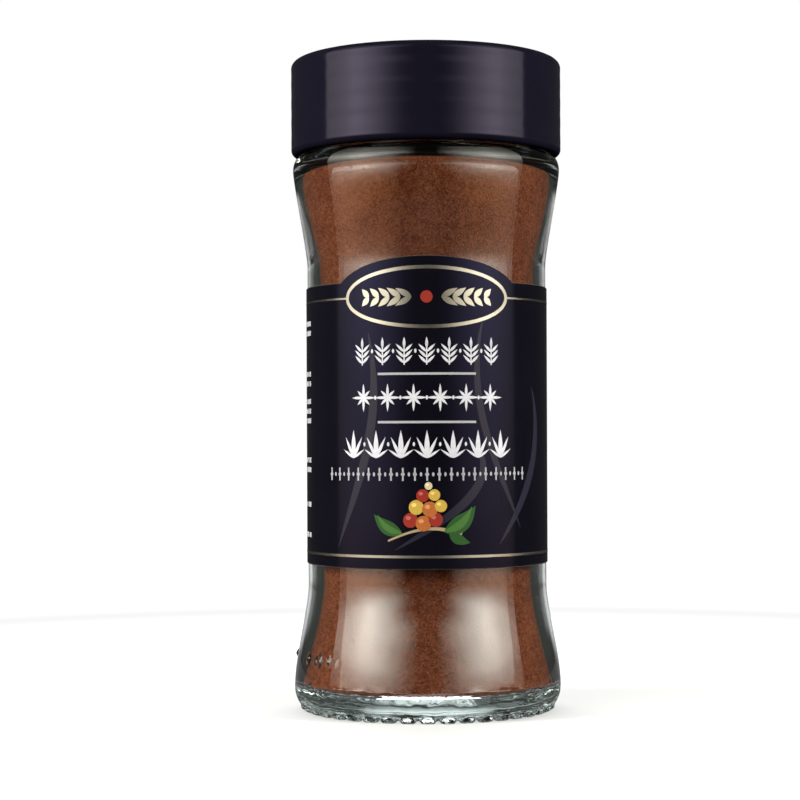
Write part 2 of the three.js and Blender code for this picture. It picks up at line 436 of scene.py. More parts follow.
def ellipse_arc(centre: tuple[float, float], reach: tuple[float, float], degrees: tuple[float, float],
                steps: int) -> Array:
    """Points along part of an ellipse.

    Args:
        centre: its middle, as (radius, height).
        reach: its half-width and half-height.
        degrees: first and last angle from the outward direction.
        steps: number of steps.

    Returns:
        Rows of (radius, height).
    """
    angle = np.radians(np.linspace(*degrees, steps + 1))
    return np.column_stack([centre[0] + reach[0] * np.cos(angle), centre[1] + reach[1] * np.sin(angle)])


def flare(start: tuple[float, float], end: tuple[float, float], reach: tuple[float, float],
          steps: int) -> Array:
    """Points along a flare between two radii, upright at both ends.

    Args:
        start: first (radius, height).
        end: last (radius, height).
        reach: how far the first and the last end stay upright.
        steps: number of steps.

    Returns:
        Rows of (radius, height).
    """
    towards = math.copysign(1.0, end[1] - start[1])
    corners = np.array([start, (start[0], start[1] + towards * reach[0]),
                        (end[0], end[1] - towards * reach[1]), end])
    t = np.linspace(0, 1, steps + 1)
    weights = np.column_stack([(1 - t) ** 3, 3 * t * (1 - t) ** 2, 3 * t ** 2 * (1 - t), t ** 3])
    return weights @ corners


def straight(start: tuple[float, float], end: tuple[float, float], steps: int) -> Array:
    """Points along a straight stretch, as rows of (radius, height)."""
    return np.linspace(start, end, steps + 1)


def joined(*stretches: Array) -> Array:
    """Joins stretches of a line and drops the points that repeat.

    Args:
        stretches: rows of (radius, height).

    Returns:
        One line.
    """
    line = np.concatenate([np.atleast_2d(s) for s in stretches])
    apart = np.linalg.norm(np.diff(line, axis=0), axis=1) > SAME_POINT
    return line[np.concatenate([[True], apart])]


@dataclass
class Wall:
    """The points of a turned surface before its relief: radius, height and azimuth, all broadcastable."""

    radius: Array
    height: Array
    azimuth: Array

    def place(self) -> Array:
        """The points as (x, y, z), one for each ring and side."""
        radius, height, azimuth = np.broadcast_arrays(self.radius, self.height, self.azimuth)
        return np.stack([radius * np.cos(azimuth), radius * np.sin(azimuth), height], axis=-1)


Relief = Callable[[Wall], Array]


def mesh_object(name: str, points: Array, faces: Sequence[Sequence[int]],
                smooth_below: float) -> bpy.types.Object:
    """A mesh object at the origin.

    Args:
        name: the object's name.
        points: rows of (x, y, z).
        faces: corner indices.
        smooth_below: edges that turn by less than this many degrees are smooth.

    Returns:
        The object, in the scene.
    """
    mesh = bpy.data.meshes.new(name)
    mesh.from_pydata(points.tolist(), [], faces)
    mesh.shade_smooth()
    mesh.set_sharp_from_angle(angle=math.radians(smooth_below))
    made = bpy.data.objects.new(name, mesh)
    bpy.context.scene.collection.objects.link(made)
    return made


def store_colours(made: bpy.types.Object, name: str, colours: Array) -> None:
    """Stores a colour for each point of a mesh.

    Args:
        made: the mesh object.
        name: the attribute's name.
        colours: rows of (red, green, blue), one for each point.
    """
    store = made.data.attributes.new(name, "FLOAT_COLOR", "POINT")
    store.data.foreach_set("color", np.column_stack([colours, np.ones(len(colours))]).ravel())


def dressed(piece: bpy.types.Object, *finishes: bpy.types.Material) -> bpy.types.Object:
    """Gives a piece its materials and returns it."""
    for finish in finishes:
        piece.data.materials.append(finish)
    return piece


def turned(name: str, line: Array, sides: int, relief: Optional[Relief] = None,
           smooth_below: float = 50.0) -> bpy.types.Object:
    """A closed surface turned round the jar's axis.

    Args:
        name: the object's name.
        line: rows of (radius, height); it starts and ends on the axis.
        sides: number of steps round.
        relief: how far each point is pushed out along the surface's normal.
        smooth_below: edges that turn by less than this many degrees are smooth.

    Returns:
        The object.
    """
    following = np.roll(line, -1, axis=0)
    area = 0.5 * np.sum(line[:, 0] * following[:, 1] - following[:, 0] * line[:, 1])
    outward = math.copysign(1.0, area)
    run = np.gradient(line, axis=0)
    run /= np.linalg.norm(run, axis=1, keepdims=True)
    normal = outward * np.column_stack([run[:, 1], -run[:, 0]])
    azimuth = FULL_TURN * np.arange(sides) / sides
    wall = Wall(line[:, :1], line[:, 1:], azimuth[None, :])
    push = relief(wall) if relief else np.zeros((len(line), sides))
    pushed = Wall(wall.radius + push * normal[:, :1], wall.height + push * normal[:, 1:], wall.azimuth)
    grid = pushed.place()
    body = grid[1:-1].reshape(-1, 3)
    poles = np.stack([grid[0].mean(axis=0), grid[-1].mean(axis=0)])
    poles[:, :2] = 0
    points = np.concatenate([body, poles])
    rings = len(line) - 2
    index = np.arange(rings * sides).reshape(rings, sides)
    across = np.roll(index, -1, axis=1)
    quads = np.stack([index[:-1], across[:-1], across[1:], index[1:]], axis=-1).reshape(-1, 4)
    first, last = rings * sides, rings * sides + 1
    start_fan = np.stack([np.full(sides, first), across[0], index[0]], axis=-1)
    end_fan = np.stack([np.full(sides, last), index[-1], across[-1]], axis=-1)
    if outward < 0:
        quads, start_fan, end_fan = quads[:, ::-1], start_fan[:, ::-1], end_fan[:, ::-1]
    faces = [*quads.tolist(), *start_fan.tolist(), *end_fan.tolist()]
    return mesh_object(name, points, faces, smooth_below)


@dataclass(frozen=True)
class Ripple:
    """Smooth random waves over a turned surface."""

    pitch: float
    height: float
    shift: float

    def over(self, wall: Wall) -> Array:
        """The waves' height at each of the surface's points."""
        places = wall.place() / self.pitch + self.shift
        flat = [noise.noise(Vector(p)) for p in places.reshape(-1, 3)]
        return self.height * np.array(flat).reshape(places.shape[:-1])


def rounded_bump(distance: Array, flat: float, foot: float) -> Array:
    """A bump's height from 1 down to 0.

    Args:
        distance: distance from the bump's middle.
        flat: radius of its top.
        foot: radius where it meets the surface.

    Returns:
        The height at each distance.
    """
    t = np.clip((foot - distance) / (foot - flat), 0, 1)
    return t * t * (3 - 2 * t)


def wound_bead(wall: Wall, start: float, pitch: float, turns: float, size: float) -> Array:
    """Relief of a half-round bead that winds up round the axis.

    Args:
        wall: the surface's points.
        start: height where it starts.
        pitch: its rise in one turn.
        turns: number of turns.
        size: its height and half its width.

    Returns:
        Push along the normal.
    """
    bead = np.zeros(np.broadcast_shapes(wall.height.shape, wall.azimuth.shape))
    for turn in range(math.ceil(turns)):
        wound = np.mod(wall.azimuth, FULL_TURN) / FULL_TURN + turn
        near = np.clip(1 - ((wall.height - start - pitch * wound) / size) ** 2, 0, 1)
        bead = np.maximum(bead, np.where(wound <= turns, np.sqrt(near), 0))
    return size * bead


# ---------------------------------------------------------------- the glass


@dataclass
class GlassJar:
    """The waisted glass with its flared shoulder and heel, threaded neck, thick floor and foot pips."""

    sides: int = 480
    waist: float = 19.4 * MM
    waist_from: float = 20.4 * MM
    waist_to: float = 71.8 * MM
    heel: float = 21.7 * MM
    heel_z: float = 3.9 * MM
    heel_round: tuple[float, float] = (2.0 * MM, 3.4 * MM)
    shoulder: float = 21.7 * MM
    shoulder_z: float = 87.5 * MM
    shoulder_round: tuple[float, float] = (1.3 * MM, 2.3 * MM)
    neck: float = 18.4 * MM
    neck_from: float = 90.8 * MM
    rim_round: float = 0.8 * MM
    bore_bottom: float = 20.3 * MM
    bore_low_waist: float = 16.9 * MM
    bore_high_waist: float = 17.4 * MM
    bore_top: float = 20.3 * MM
    bore_neck: float = 16.4 * MM
    bore_neck_z: float = 89.6 * MM
    floor: float = 3.8 * MM
    floor_corner: float = 1.0 * MM
    inner_waist_from: float = 21.2 * MM
    inner_waist_to: float = 71.2 * MM
    inner_shoulder_z: float = 86.4 * MM
    inner_shoulder_round: tuple[float, float] = (2.4 * MM, 2.1 * MM)
    push_up_rim: float = 17.9 * MM
    push_up_shoulder: float = 14.6 * MM
    push_up_rise: float = 1.8 * MM
    push_up_edge: float = 0.7
    shoulder_flare: tuple[float, float] = (2.0 * MM, 2.5 * MM)
    heel_flare: tuple[float, float] = (4.0 * MM, 5.0 * MM)
    inner_heel_flare: tuple[float, float] = (0.3 * MM, 5.5 * MM)
    inner_shoulder_flare: tuple[float, float] = (2.5 * MM, 3.5 * MM)
    pips: int = 40
    pip_ring: float = 19.45 * MM
    pip_flat: float = 0.95 * MM
    pip_foot: float = 1.45 * MM
    mark_z: float = 9.0 * MM
    mark_proud: float = 0.35 * MM
    mark_radius: float = 0.62 * MM
    mark_flat: float = 0.217 * MM
    mark_ring: float = 0.75 * MM
    mark_ring_tube: float = 0.338 * MM
    pip_marks: tuple[float, ...] = (-90.0, -63.4, -47.7)
    ring_mark: float = -54.8
    thread: float = 1.0 * MM
    thread_pitch: float = 3.6 * MM
    thread_turns: float = 1.25
    thread_from: float = 94.0 * MM
    floor_ripples: tuple[Ripple, ...] = (Ripple(2.4 * MM, 0.15 * MM, 3.7), Ripple(1.0 * MM, 0.0525 * MM, 5.3))
    wall_ripple: Ripple = Ripple(9 * MM, 0.012 * MM, 8.1)
    ripples_below: float = 5.6 * MM
    calm_from: float = 18.5 * MM
    heel_ripple_share: float = 0.25
    middle_fade: float = 3 * MM
    rim_z: float = field(default_factory=lambda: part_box("glass_jar")[1].z)

    @property
    def foot_z(self) -> float:
        """Height of the ring that the pips stand out of."""
        return self.heel_z - self.heel_round[1]

    def inside(self, inset: float) -> Array:
        """The inside line from the middle of the floor to the shoulder.

        Args:
            inset: distance that the line is moved in from the glass.

        Returns:
            Rows of (radius, height).
        """
        bottom, upper = self.bore_bottom - inset, self.bore_top - inset
        low_waist = (self.bore_low_waist - inset, self.inner_waist_from)
        high_waist = (self.bore_high_waist - inset, self.inner_waist_to)
        floor = self.floor + inset
        corner = self.floor_corner
        corner_z = self.floor + corner
        reach_r, reach_z = self.inner_shoulder_round
        shoulder_centre = (upper - reach_r, self.inner_shoulder_z)
        return joined(
            straight((0, floor), (bottom - corner, floor), 8),
            ellipse_arc((bottom - corner, corner_z), (corner, corner - inset), (-90, 0), 9),
            flare((bottom, corner_z), low_waist, self.inner_heel_flare, 24),
            straight(low_waist, high_waist, 4),
            flare(high_waist, (upper, self.inner_shoulder_z), self.inner_shoulder_flare, 18),
            ellipse_arc(shoulder_centre, (reach_r, reach_z - inset), (0, 70), 8),
        )

    def outside(self) -> Array:
        """The outside line from the neck's top down to the middle of the hollow under the foot."""
        shoulder, heel = (self.shoulder, self.shoulder_z), (self.heel, self.heel_z)
        high_waist, low_waist = (self.waist, self.waist_to), (self.waist, self.waist_from)
        shoulder_middle = (self.shoulder - self.shoulder_round[0], self.shoulder_z)
        heel_middle = (self.heel - self.heel_round[0], self.heel_z)
        push_up = (self.push_up_shoulder, self.foot_z + self.push_up_edge * self.push_up_rise)
        return joined(
            straight((self.neck, self.rim_z - self.rim_round), (self.neck, self.neck_from), 22),
            ellipse_arc(shoulder_middle, self.shoulder_round, (90, 0), 12),
            flare(shoulder, high_waist, self.shoulder_flare, 18),
            straight(high_waist, low_waist, 4),
            flare(low_waist, heel, self.heel_flare, 40),
            ellipse_arc(heel_middle, self.heel_round, (0, -90), 18),
            straight((heel_middle[0], self.foot_z), (self.push_up_rim, self.foot_z), 5),
            straight((self.push_up_rim, self.foot_z), push_up, 5),
            straight(push_up, (0, self.foot_z + self.push_up_rise), 8),
        )

    def line(self) -> Array:
        """The whole line: inside, rim and outside."""
        z = self.rim_z - self.rim_round
        size = (self.rim_round, self.rim_round)
        rim = joined(straight((self.bore_neck, self.bore_neck_z), (self.bore_neck, z), 6),
                     ellipse_arc((self.bore_neck + self.rim_round, z), size, (180, 90), 4),
                     ellipse_arc((self.neck - self.rim_round, z), size, (90, 0), 4))
        return joined(self.inside(0), rim, self.outside())

    def foot_pips(self, wall: Wall) -> Array:
        """Relief of the ring of pips under the foot."""
        step = FULL_TURN / self.pips
        off = np.mod(wall.azimuth + step / 2, step) - step / 2
        distance = np.hypot(wall.radius - self.pip_ring, self.pip_ring * off)
        low = wall.height < self.foot_z + MM
        return np.where(low, self.foot_z * rounded_bump(distance, self.pip_flat, self.pip_foot), 0)

    def heel_marks(self, wall: Wall, outer: Array) -> Array:
        """Relief of the round pips and the ring on the heel.

        Args:
            wall: the surface's points.
            outer: True where a point is on the outside of the glass.

        Returns:
            Push along the normal.
        """
        push = np.zeros(np.broadcast_shapes(wall.height.shape, wall.azimuth.shape))
        for degrees in (*self.pip_marks, self.ring_mark):
            off = np.mod(wall.azimuth - FRONT - math.radians(degrees) + math.pi, FULL_TURN) - math.pi
            distance = np.hypot(wall.height - self.mark_z, self.heel * off)
            if degrees == self.ring_mark:
                bump = rounded_bump(np.abs(distance - self.mark_ring), 0, self.mark_ring_tube)
            else:
                bump = rounded_bump(distance, self.mark_flat, self.mark_radius)
            push = np.maximum(push, self.mark_proud * bump)
        return np.where(outer, push, 0)

    def thread_bead(self, wall: Wall, outer: Array) -> Array:
        """Relief of the screw thread on the neck.

        Args:
            wall: the surface's points.
            outer: True where a point is on the outside of the glass.

        Returns:
            Push along the normal.
        """
        on_neck = outer & (wall.height > self.neck_from) & (wall.height < self.rim_z - self.rim_round)
        bead = wound_bead(wall, self.thread_from, self.thread_pitch, self.thread_turns, self.thread)
        return np.where(on_neck, bead, 0)

    def build(self, finish: bpy.types.Material) -> bpy.types.Object:
        """Builds the jar.

        Args:
            finish: its material.

        Returns:
            The piece.
        """
        line = self.line()
        rim_ring = int(np.argmax(line[:, 1]))
        outer = (np.arange(len(line)) > rim_ring)[:, None]

        def relief(wall: Wall) -> Array:
            low = np.clip((self.ripples_below - wall.height) / MM, 0, 1)
            calm = np.where(outer & (wall.radius > self.calm_from), self.heel_ripple_share, 1)
            share = low * calm * np.clip(wall.radius / self.middle_fade, 0, 1)
            wave = share * sum(ripple.over(wall) for ripple in self.floor_ripples)
            wave = wave + self.wall_ripple.over(wall)
            return self.foot_pips(wall) + self.heel_marks(wall, outer) + self.thread_bead(wall, outer) + wave

        return dressed(turned("jar_glass", line, self.sides, relief, 60), finish)


# ---------------------------------------------------------------- the powder


def geometry_tree(name: str, inputs: dict[str, str]) -> tuple[Tree, bpy.types.Node, dict[str, str]]:
    """An empty geometry tree with named inputs.

    Args:
        name: the tree's name.
        inputs: socket type for each named input.

    Returns:
        The tree, its input node, and each input's identifier by its name.
    """
    group = bpy.data.node_groups.new(name, "GeometryNodeTree")
    group.interface.new_socket("Geometry", in_out="INPUT", socket_type="NodeSocketGeometry")
    names = {}
    for label, kind in inputs.items():
        names[label] = group.interface.new_socket(label, in_out="INPUT", socket_type=kind).identifier
    group.interface.new_socket("Geometry", in_out="OUTPUT", socket_type="NodeSocketGeometry")
    tree = Tree(group)
    return tree, tree.node("NodeGroupInput"), names


def finish_tree(tree: Tree, geometry: bpy.types.NodeSocket, material: bpy.types.Material) -> None:
    """Ends a geometry tree in Realize Instances and Set Material.

    Args:
        tree: the tree.
        geometry: what it has made.
        material: the result's material.
    """
    real = tree.node("GeometryNodeRealizeInstances", inputs={"Geometry": geometry})
    dressed = tree.node("GeometryNodeSetMaterial", inputs={"Geometry": real.outputs[0], "Material": material})
    tree.node("NodeGroupOutput", inputs={0: dressed.outputs[0]})


def grown(name: str, seed_object: bpy.types.Object, tree: Tree, values: dict[str, Any]) -> bpy.types.Object:
    """Runs a geometry tree on an object and keeps the result as a plain mesh.

    Args:
        name: the new object's name.
        seed_object: what the tree starts from; it is removed.
        tree: the tree.
        values: the modifier's inputs by the sockets' identifiers.

    Returns:
        The new object, with no modifier.
    """
    modifier = seed_object.modifiers.new("grow", "NODES")
    modifier.node_group = tree.tree
    for identifier, value in values.items():
        modifier[identifier] = value
    seed_object.update_tag()
    bpy.context.view_layer.update()
    seen = seed_object.evaluated_get(bpy.context.evaluated_depsgraph_get())
    mesh = bpy.data.meshes.new_from_object(seen)
    mesh.name = name
    bpy.data.objects.remove(seed_object)
    made = bpy.data.objects.new(name, mesh)
    bpy.context.scene.collection.objects.link(made)
    return made


@dataclass
class PowderFill:
    """The ground cloves that fill the glass: a grainy core, and loose grains against the wall."""

    jar: GlassJar
    sides: int = 360
    rings: int = 262
    inset: float = 0.085 * MM
    grit: float = 0.045 * MM
    reach: float = 0.02 * MM
    crown: float = 0.9 * MM
    crown_steps: int = 12
    top_ripple: Ripple = Ripple(7 * MM, 0.5 * MM, 2.2)
    edge_fade: float = 3.0
    seed: int = 11
    grain_inset: float = 0.17 * MM
    grain_size: tuple[float, float] = (0.07 * MM, 0.165 * MM)
    grain_flatness: float = 0.6
    grains: int = 8600
    carrier_rings: int = 60
    carrier_sides: int = 60
    bare_rings: int = 8

    def line(self, inset: float, rings: int) -> Array:
        """The powder's line, in even steps.

        Args:
            inset: distance in from the glass.
            rings: number of points.

        Returns:
            Rows of (radius, height).
        """
        sides = self.jar.inside(inset)
        edge_radius, edge_z = sides[-1]
        share = np.linspace(1, 0, self.crown_steps + 1)
        crown = np.column_stack([edge_radius * share, edge_z + self.crown * (1 - share ** 2)])
        rough = joined(sides, crown)
        length = np.concatenate([[0], np.cumsum(np.linalg.norm(np.diff(rough, axis=0), axis=1))])
        even = np.linspace(0, length[-1], rings)
        line = np.column_stack([np.interp(even, length, rough[:, k]) for k in (0, 1)])
        line[[0, -1], 0] = 0
        return line

    def core(self, finish: bpy.types.Material) -> bpy.types.Object:
        """The grainy core.

        Args:
            finish: its material.

        Returns:
            The piece.
        """
        chance = np.random.default_rng(self.seed)
        line = self.line(self.inset, self.rings)
        edge_radius, edge_z = self.jar.inside(self.inset)[-1]

        def relief(wall: Wall) -> Array:
            shape = np.broadcast_shapes(wall.height.shape, wall.azimuth.shape)
            grit = np.minimum(self.grit * chance.standard_normal(shape), self.inset + self.reach)
            fade = np.clip(self.edge_fade * (1 - wall.radius / edge_radius), 0, 1) * (wall.height > edge_z)
            return grit + fade * self.top_ripple.over(wall)

        return dressed(turned("powder_core", line, self.sides, relief, ALL_SMOOTH), finish)

    def loose_grains(self, finish: bpy.types.Material) -> bpy.types.Object:
        """Grains scattered over the powder's sides.

        Args:
            finish: their material.

        Returns:
            The piece.
        """
        kinds = {"Density": "NodeSocketFloat", "Seed": "NodeSocketInt", "Smallest": "NodeSocketFloat",
                 "Largest": "NodeSocketFloat"}
        tree, given, names = geometry_tree("loose_grains", kinds)
        spread = tree.node("GeometryNodeDistributePointsOnFaces", {"distribute_method": "RANDOM"},
                           {"Mesh": given.outputs["Geometry"], "Density": given.outputs["Density"],
                            "Seed": given.outputs["Seed"]})
        ball = tree.node("GeometryNodeMeshIcoSphere", inputs={"Radius": 1.0, "Subdivisions": 1})
        size = tree.node("FunctionNodeRandomValue", {"data_type": "FLOAT"},
                         {2: given.outputs["Smallest"], 3: given.outputs["Largest"], "Seed": 5})
        turn = tree.node("FunctionNodeRandomValue", {"data_type": "FLOAT_VECTOR"},
                         {0: (0, 0, 0), 1: (FULL_TURN,) * 3, "Seed": 6})
        long = tree.node("FunctionNodeRandomValue", {"data_type": "FLOAT_VECTOR"},
                         {0: (self.grain_flatness,) * 3, 1: (1.0,) * 3, "Seed": 7})
        shape = tree.node("ShaderNodeVectorMath", {"operation": "SCALE"},
                          {0: long.outputs[0], "Scale": size.outputs[1]})
        placed = tree.node("GeometryNodeInstanceOnPoints",
                           inputs={"Points": spread.outputs["Points"], "Instance": ball.outputs["Mesh"],
                                   "Rotation": turn.outputs[0], "Scale": shape.outputs[0]})
        tone = tree.node("FunctionNodeRandomValue", {"data_type": "FLOAT"}, {2: 0.0, 3: 1.0, "Seed": 8})
        named = tree.node("GeometryNodeStoreNamedAttribute", {"data_type": "FLOAT", "domain": "INSTANCE"},
                          {"Geometry": placed.outputs[0], "Name": TONE, "Value": tone.outputs[1]})
        finish_tree(tree, named.outputs[0], finish)
        below_top = self.line(self.grain_inset, self.carrier_rings)[:-self.bare_rings]
        carrier = turned("grain_carrier", below_top, self.carrier_sides)
        area = sum(face.area for face in carrier.data.polygons)
        values = {names["Density"]: self.grains / area, names["Seed"]: self.seed,
                  names["Smallest"]: self.grain_size[0], names["Largest"]: self.grain_size[1]}
        piece = grown("powder_grains", carrier, tree, values)
        piece.data.shade_smooth()
        return piece


# ---------------------------------------------------------------- the cap


@dataclass
class ScrewCap:
    """The screw cap: a smooth wall with faint rings, a rounded top edge and a thread inside."""

    sides: int = 360
    bore: float = 20.2 * MM
    top_edge: float = 1.1 * MM
    bottom_edge: float = 0.9 * MM
    bore_edge: float = 0.3 * MM
    inner_corner: float = 0.8 * MM
    panel_gap: float = 0.3 * MM
    ring_pitch: float = 3.1 * MM
    ring_from: float = 91.4 * MM
    ring_depth: float = 0.012 * MM
    thread: float = 0.9 * MM
    dish: float = 0.25 * MM
    dish_from: float = 5.0 * MM
    dish_to: float = 3.6 * MM
    painted_shade_share: float = 0.8
    low: Vector = field(default_factory=lambda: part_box("cap")[0])
    high: Vector = field(default_factory=lambda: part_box("cap")[1])

    def line(self, jar: GlassJar) -> Array:
        """The cap's line, from the middle of its top round to the middle of its inside.

        Args:
            jar: the glass that it closes.

        Returns:
            Rows of (radius, height).
        """
        radius, top, bottom = self.high.x, self.high.z, self.low.z
        edge, low_edge, bore_edge, corner = self.top_edge, self.bottom_edge, self.bore_edge, self.inner_corner
        panel = jar.rim_z + self.panel_gap
        dish, rim = (radius - self.dish_from, top - self.dish), (radius - self.dish_to, top)
        return joined(
            straight((0, top - self.dish), dish, 8),
            flare(dish, rim, (0.0, 0.0), 6),
            straight(rim, (radius - edge, top), 4),
            ellipse_arc((radius - edge, top - edge), (edge, edge), (90, 0), 14),
            straight((radius, top - edge), (radius, bottom + low_edge), 60),
            ellipse_arc((radius - low_edge, bottom + low_edge), (low_edge, low_edge), (0, -90), 10),
            ellipse_arc((self.bore + bore_edge, bottom + bore_edge), (bore_edge, bore_edge), (-90, -180), 5),
            straight((self.bore, bottom + bore_edge), (self.bore, panel - corner), 30),
            ellipse_arc((self.bore - corner, panel - corner), (corner, corner), (0, 90), 5),
            straight((self.bore - corner, panel), (0, panel), 6),
        )

    def build(self, jar: GlassJar, finish: bpy.types.Material,
              painted_shade: bpy.types.Material) -> bpy.types.Object:
        """Builds the cap, whose thread runs half a turn under the glass's.

        Args:
            jar: the glass that it closes.
            finish: its material.
            painted_shade: a copy of its finish with no shine for its bottom edge, which paints shade there.

        Returns:
            The piece.
        """
        line = self.line(jar)
        wall_top, wall_bottom = self.high.z - self.top_edge, self.low.z + self.bottom_edge

        def relief(wall: Wall) -> Array:
            on_wall = (wall.height < wall_top) & (wall.height > wall_bottom)
            outer = on_wall & (wall.radius > self.high.x - SAME_PLACE)
            rings = np.sin(FULL_TURN * (wall.height - self.ring_from) / self.ring_pitch) - 1
            fade = np.clip((wall_top - wall.height) / MM, 0, 1)
            fade = fade * np.clip((wall.height - wall_bottom) / MM, 0, 1)
            inner = (np.abs(wall.radius - self.bore) < SAME_PLACE) & (wall.height > wall_bottom + MM)
            start = jar.thread_from - 0.5 * jar.thread_pitch
            bead = wound_bead(wall, start, jar.thread_pitch, jar.thread_turns, self.thread)
            return np.where(outer, self.ring_depth * rings * fade, 0) + np.where(inner, bead, 0)

        piece = dressed(turned("screw_cap", line, self.sides, relief), finish, painted_shade)
        # The faces near the bottom edge take the shineless copy, which paints shade there.
        painted_shade_top = self.low.z + self.painted_shade_share * self.bottom_edge
        for face in piece.data.polygons:
            face.material_index = int(face.center.z < painted_shade_top)
        return piece


# ---------------------------------------------------------------- the label and its print


@dataclass
class Patch:
    """Closed thin shapes gathered on the unrolled label, as (along, up, out) points and faces."""

    points: list[tuple[float, float, float]] = field(default_factory=list)
    faces: list[tuple[int, ...]] = field(default_factory=list)
    inks: list[Colour] = field(default_factory=list)
    bar_step: float = 0.6 * MM

    def ribbon(self, spine: Array, half_width: Array, out: tuple[float, float], ink: Colour = (1, 1, 1),
               columns: int = 2, closed: bool = False) -> None:
        """Adds a flat ribbon with thickness.

        Args:
            spine: rows of (along, up) down the ribbon's middle.
            half_width: half-width at each row.
            out: lowest and highest distance from the label's face.
            ink: its colour.
            columns: number of steps across.
            closed: True where the last row meets the first.
        """
        rows = len(spine)
        run = np.roll(spine, -1, axis=0) - np.roll(spine, 1, axis=0) if closed else np.gradient(spine, axis=0)
        run = run / np.maximum(np.linalg.norm(run, axis=1, keepdims=True), SAME_POINT)
        side = np.column_stack([-run[:, 1], run[:, 0]])
        across = np.linspace(-1, 1, columns + 1)
        flat = spine[:, None, :] + across[None, :, None] * (half_width[:, None] * side)[:, None, :]
        start = len(self.points)
        wide = columns + 1
        for level in out:
            self.points += [(p[0], p[1], level) for p in flat.reshape(-1, 2)]
        lower = start + np.arange(rows * wide).reshape(rows, wide)
        upper = lower + rows * wide
        last = rows if closed else rows - 1
        for i in range(last):
            j = (i + 1) % rows
            for k in range(columns):
                self.faces.append((upper[i, k], upper[j, k], upper[j, k + 1], upper[i, k + 1]))
                self.faces.append((lower[i, k], lower[i, k + 1], lower[j, k + 1], lower[j, k]))
            self.faces.append((lower[i, 0], lower[j, 0], upper[j, 0], upper[i, 0]))
            self.faces.append((lower[j, -1], lower[i, -1], upper[i, -1], upper[j, -1]))
        if not closed:
            for k in range(columns):
                self.faces.append((lower[0, k + 1], lower[0, k], upper[0, k], upper[0, k + 1]))
                self.faces.append((lower[-1, k], lower[-1, k + 1], upper[-1, k + 1], upper[-1, k]))
        self.inks += [ink] * (len(self.points) - start)

    def disc(self, centre: tuple[float, float], radius: tuple[float, float], out: tuple[float, float],
             ink: Colour = (1, 1, 1), rows: int = 14) -> None:
        """Adds a round or oval spot as a short ribbon.

        Args:
            centre: its middle, as (along, up).
            radius: its half-width and half-height.
            out: lowest and highest distance from the label's face.
            ink: its colour.
            rows: number of steps up it.
        """
        angle = np.linspace(-math.pi / 2, math.pi / 2, rows + 1)
        spine = np.column_stack([np.full(rows + 1, centre[0]), centre[1] + radius[1] * np.sin(angle)])
        self.ribbon(spine, np.maximum(radius[0] * np.cos(angle), THINNEST), out, ink, 4)

    def bar(self, left: float, right: float, up: float, height: float, out: tuple[float, float]) -> None:
        """Adds a level bar.

        Args:
            left: its left end along the label.
            right: its right end.
            up: height of its middle.
            height: its height.
            out: lowest and highest distance from the label's face.
        """
        rows = max(2, math.ceil((right - left) / self.bar_step) + 1)
        spine = np.column_stack([np.linspace(left, right, rows), np.full(rows, up)])
        self.ribbon(spine, np.full(rows, height / 2), out)

    def flat_object(self, name: str) -> bpy.types.Object:
        """The shapes as an object that is still flat: along X, out along -Y."""
        along, up, out = np.array(self.points).T
        return self.with_inks(name, np.column_stack([along, -out, up]))

    def wrapped_object(self, name: str, radius: float, finish: bpy.types.Material) -> bpy.types.Object:
        """The shapes wrapped round the jar.

        Args:
            name: the object's name.
            radius: radius of the label's face.
            finish: its material.

        Returns:
            The object.
        """
        along, up, out = np.array(self.points).T
        angle = along / radius
        points = np.column_stack([(radius + out) * np.sin(angle), -(radius + out) * np.cos(angle), up])
        return dressed(self.with_inks(name, points), finish)

    def with_inks(self, name: str, points: Array) -> bpy.types.Object:
        """The shapes as an object that stores each point's ink.

        Args:
            name: the object's name.
            points: the shapes' points where they lie in the scene.

        Returns:
            The object.
        """
        made = mesh_object(name, points, [tuple(map(int, face)) for face in self.faces], 30)
        store_colours(made, INK, np.array(self.inks))
        return made


class Motif(Enum):
    """The plain shapes that the rows of print repeat."""

    SPRAY = "spray"
    STAR = "star"
    EAR = "ear"
    POST = "post"
    TICK = "tick"


STEM_BROWN: Colour = (0.26, 0.20, 0.11)
LEAF_GREEN: Colour = (0.012, 0.055, 0.009)
PALE_GREEN: Colour = (0.036, 0.105, 0.017)
YELLOW: Colour = (0.38, 0.25, 0.04)
ORANGE: Colour = (0.29, 0.085, 0.018)
RED: Colour = (0.195, 0.017, 0.009)
CREAM: Colour = (0.42, 0.35, 0.21)


@dataclass(frozen=True)
class Leaf:
    """One leaf of the sprig: foot, length and half-width in millimetres, and the way it points in degrees."""

    foot: tuple[float, float]
    degrees: float
    length: float
    half_width: float
    ink: Colour
    bend: float


@dataclass(frozen=True)
class Fruit:
    """One round fruit of the sprig, in millimetres."""

    along: float
    up: float
    radius: float
    ink: Colour


@dataclass(frozen=True)
class Band:
    """One faint curved band, in millimetres: where its foot stands, how far it bows, and how high it runs."""

    foot: float
    bow: float
    low: float
    high: float
    half_width: float


@dataclass(frozen=True)
class Block:
    """A block of small bars on the label's side, by the height of its top in millimetres."""

    top: float
    lines: int


@dataclass(frozen=True)
class Row:
    """One row of repeated motifs across the front of the label."""

    name: str
    up: float
    height: float
    half_length: float
    count: int
    motif: Motif
    between: Motif


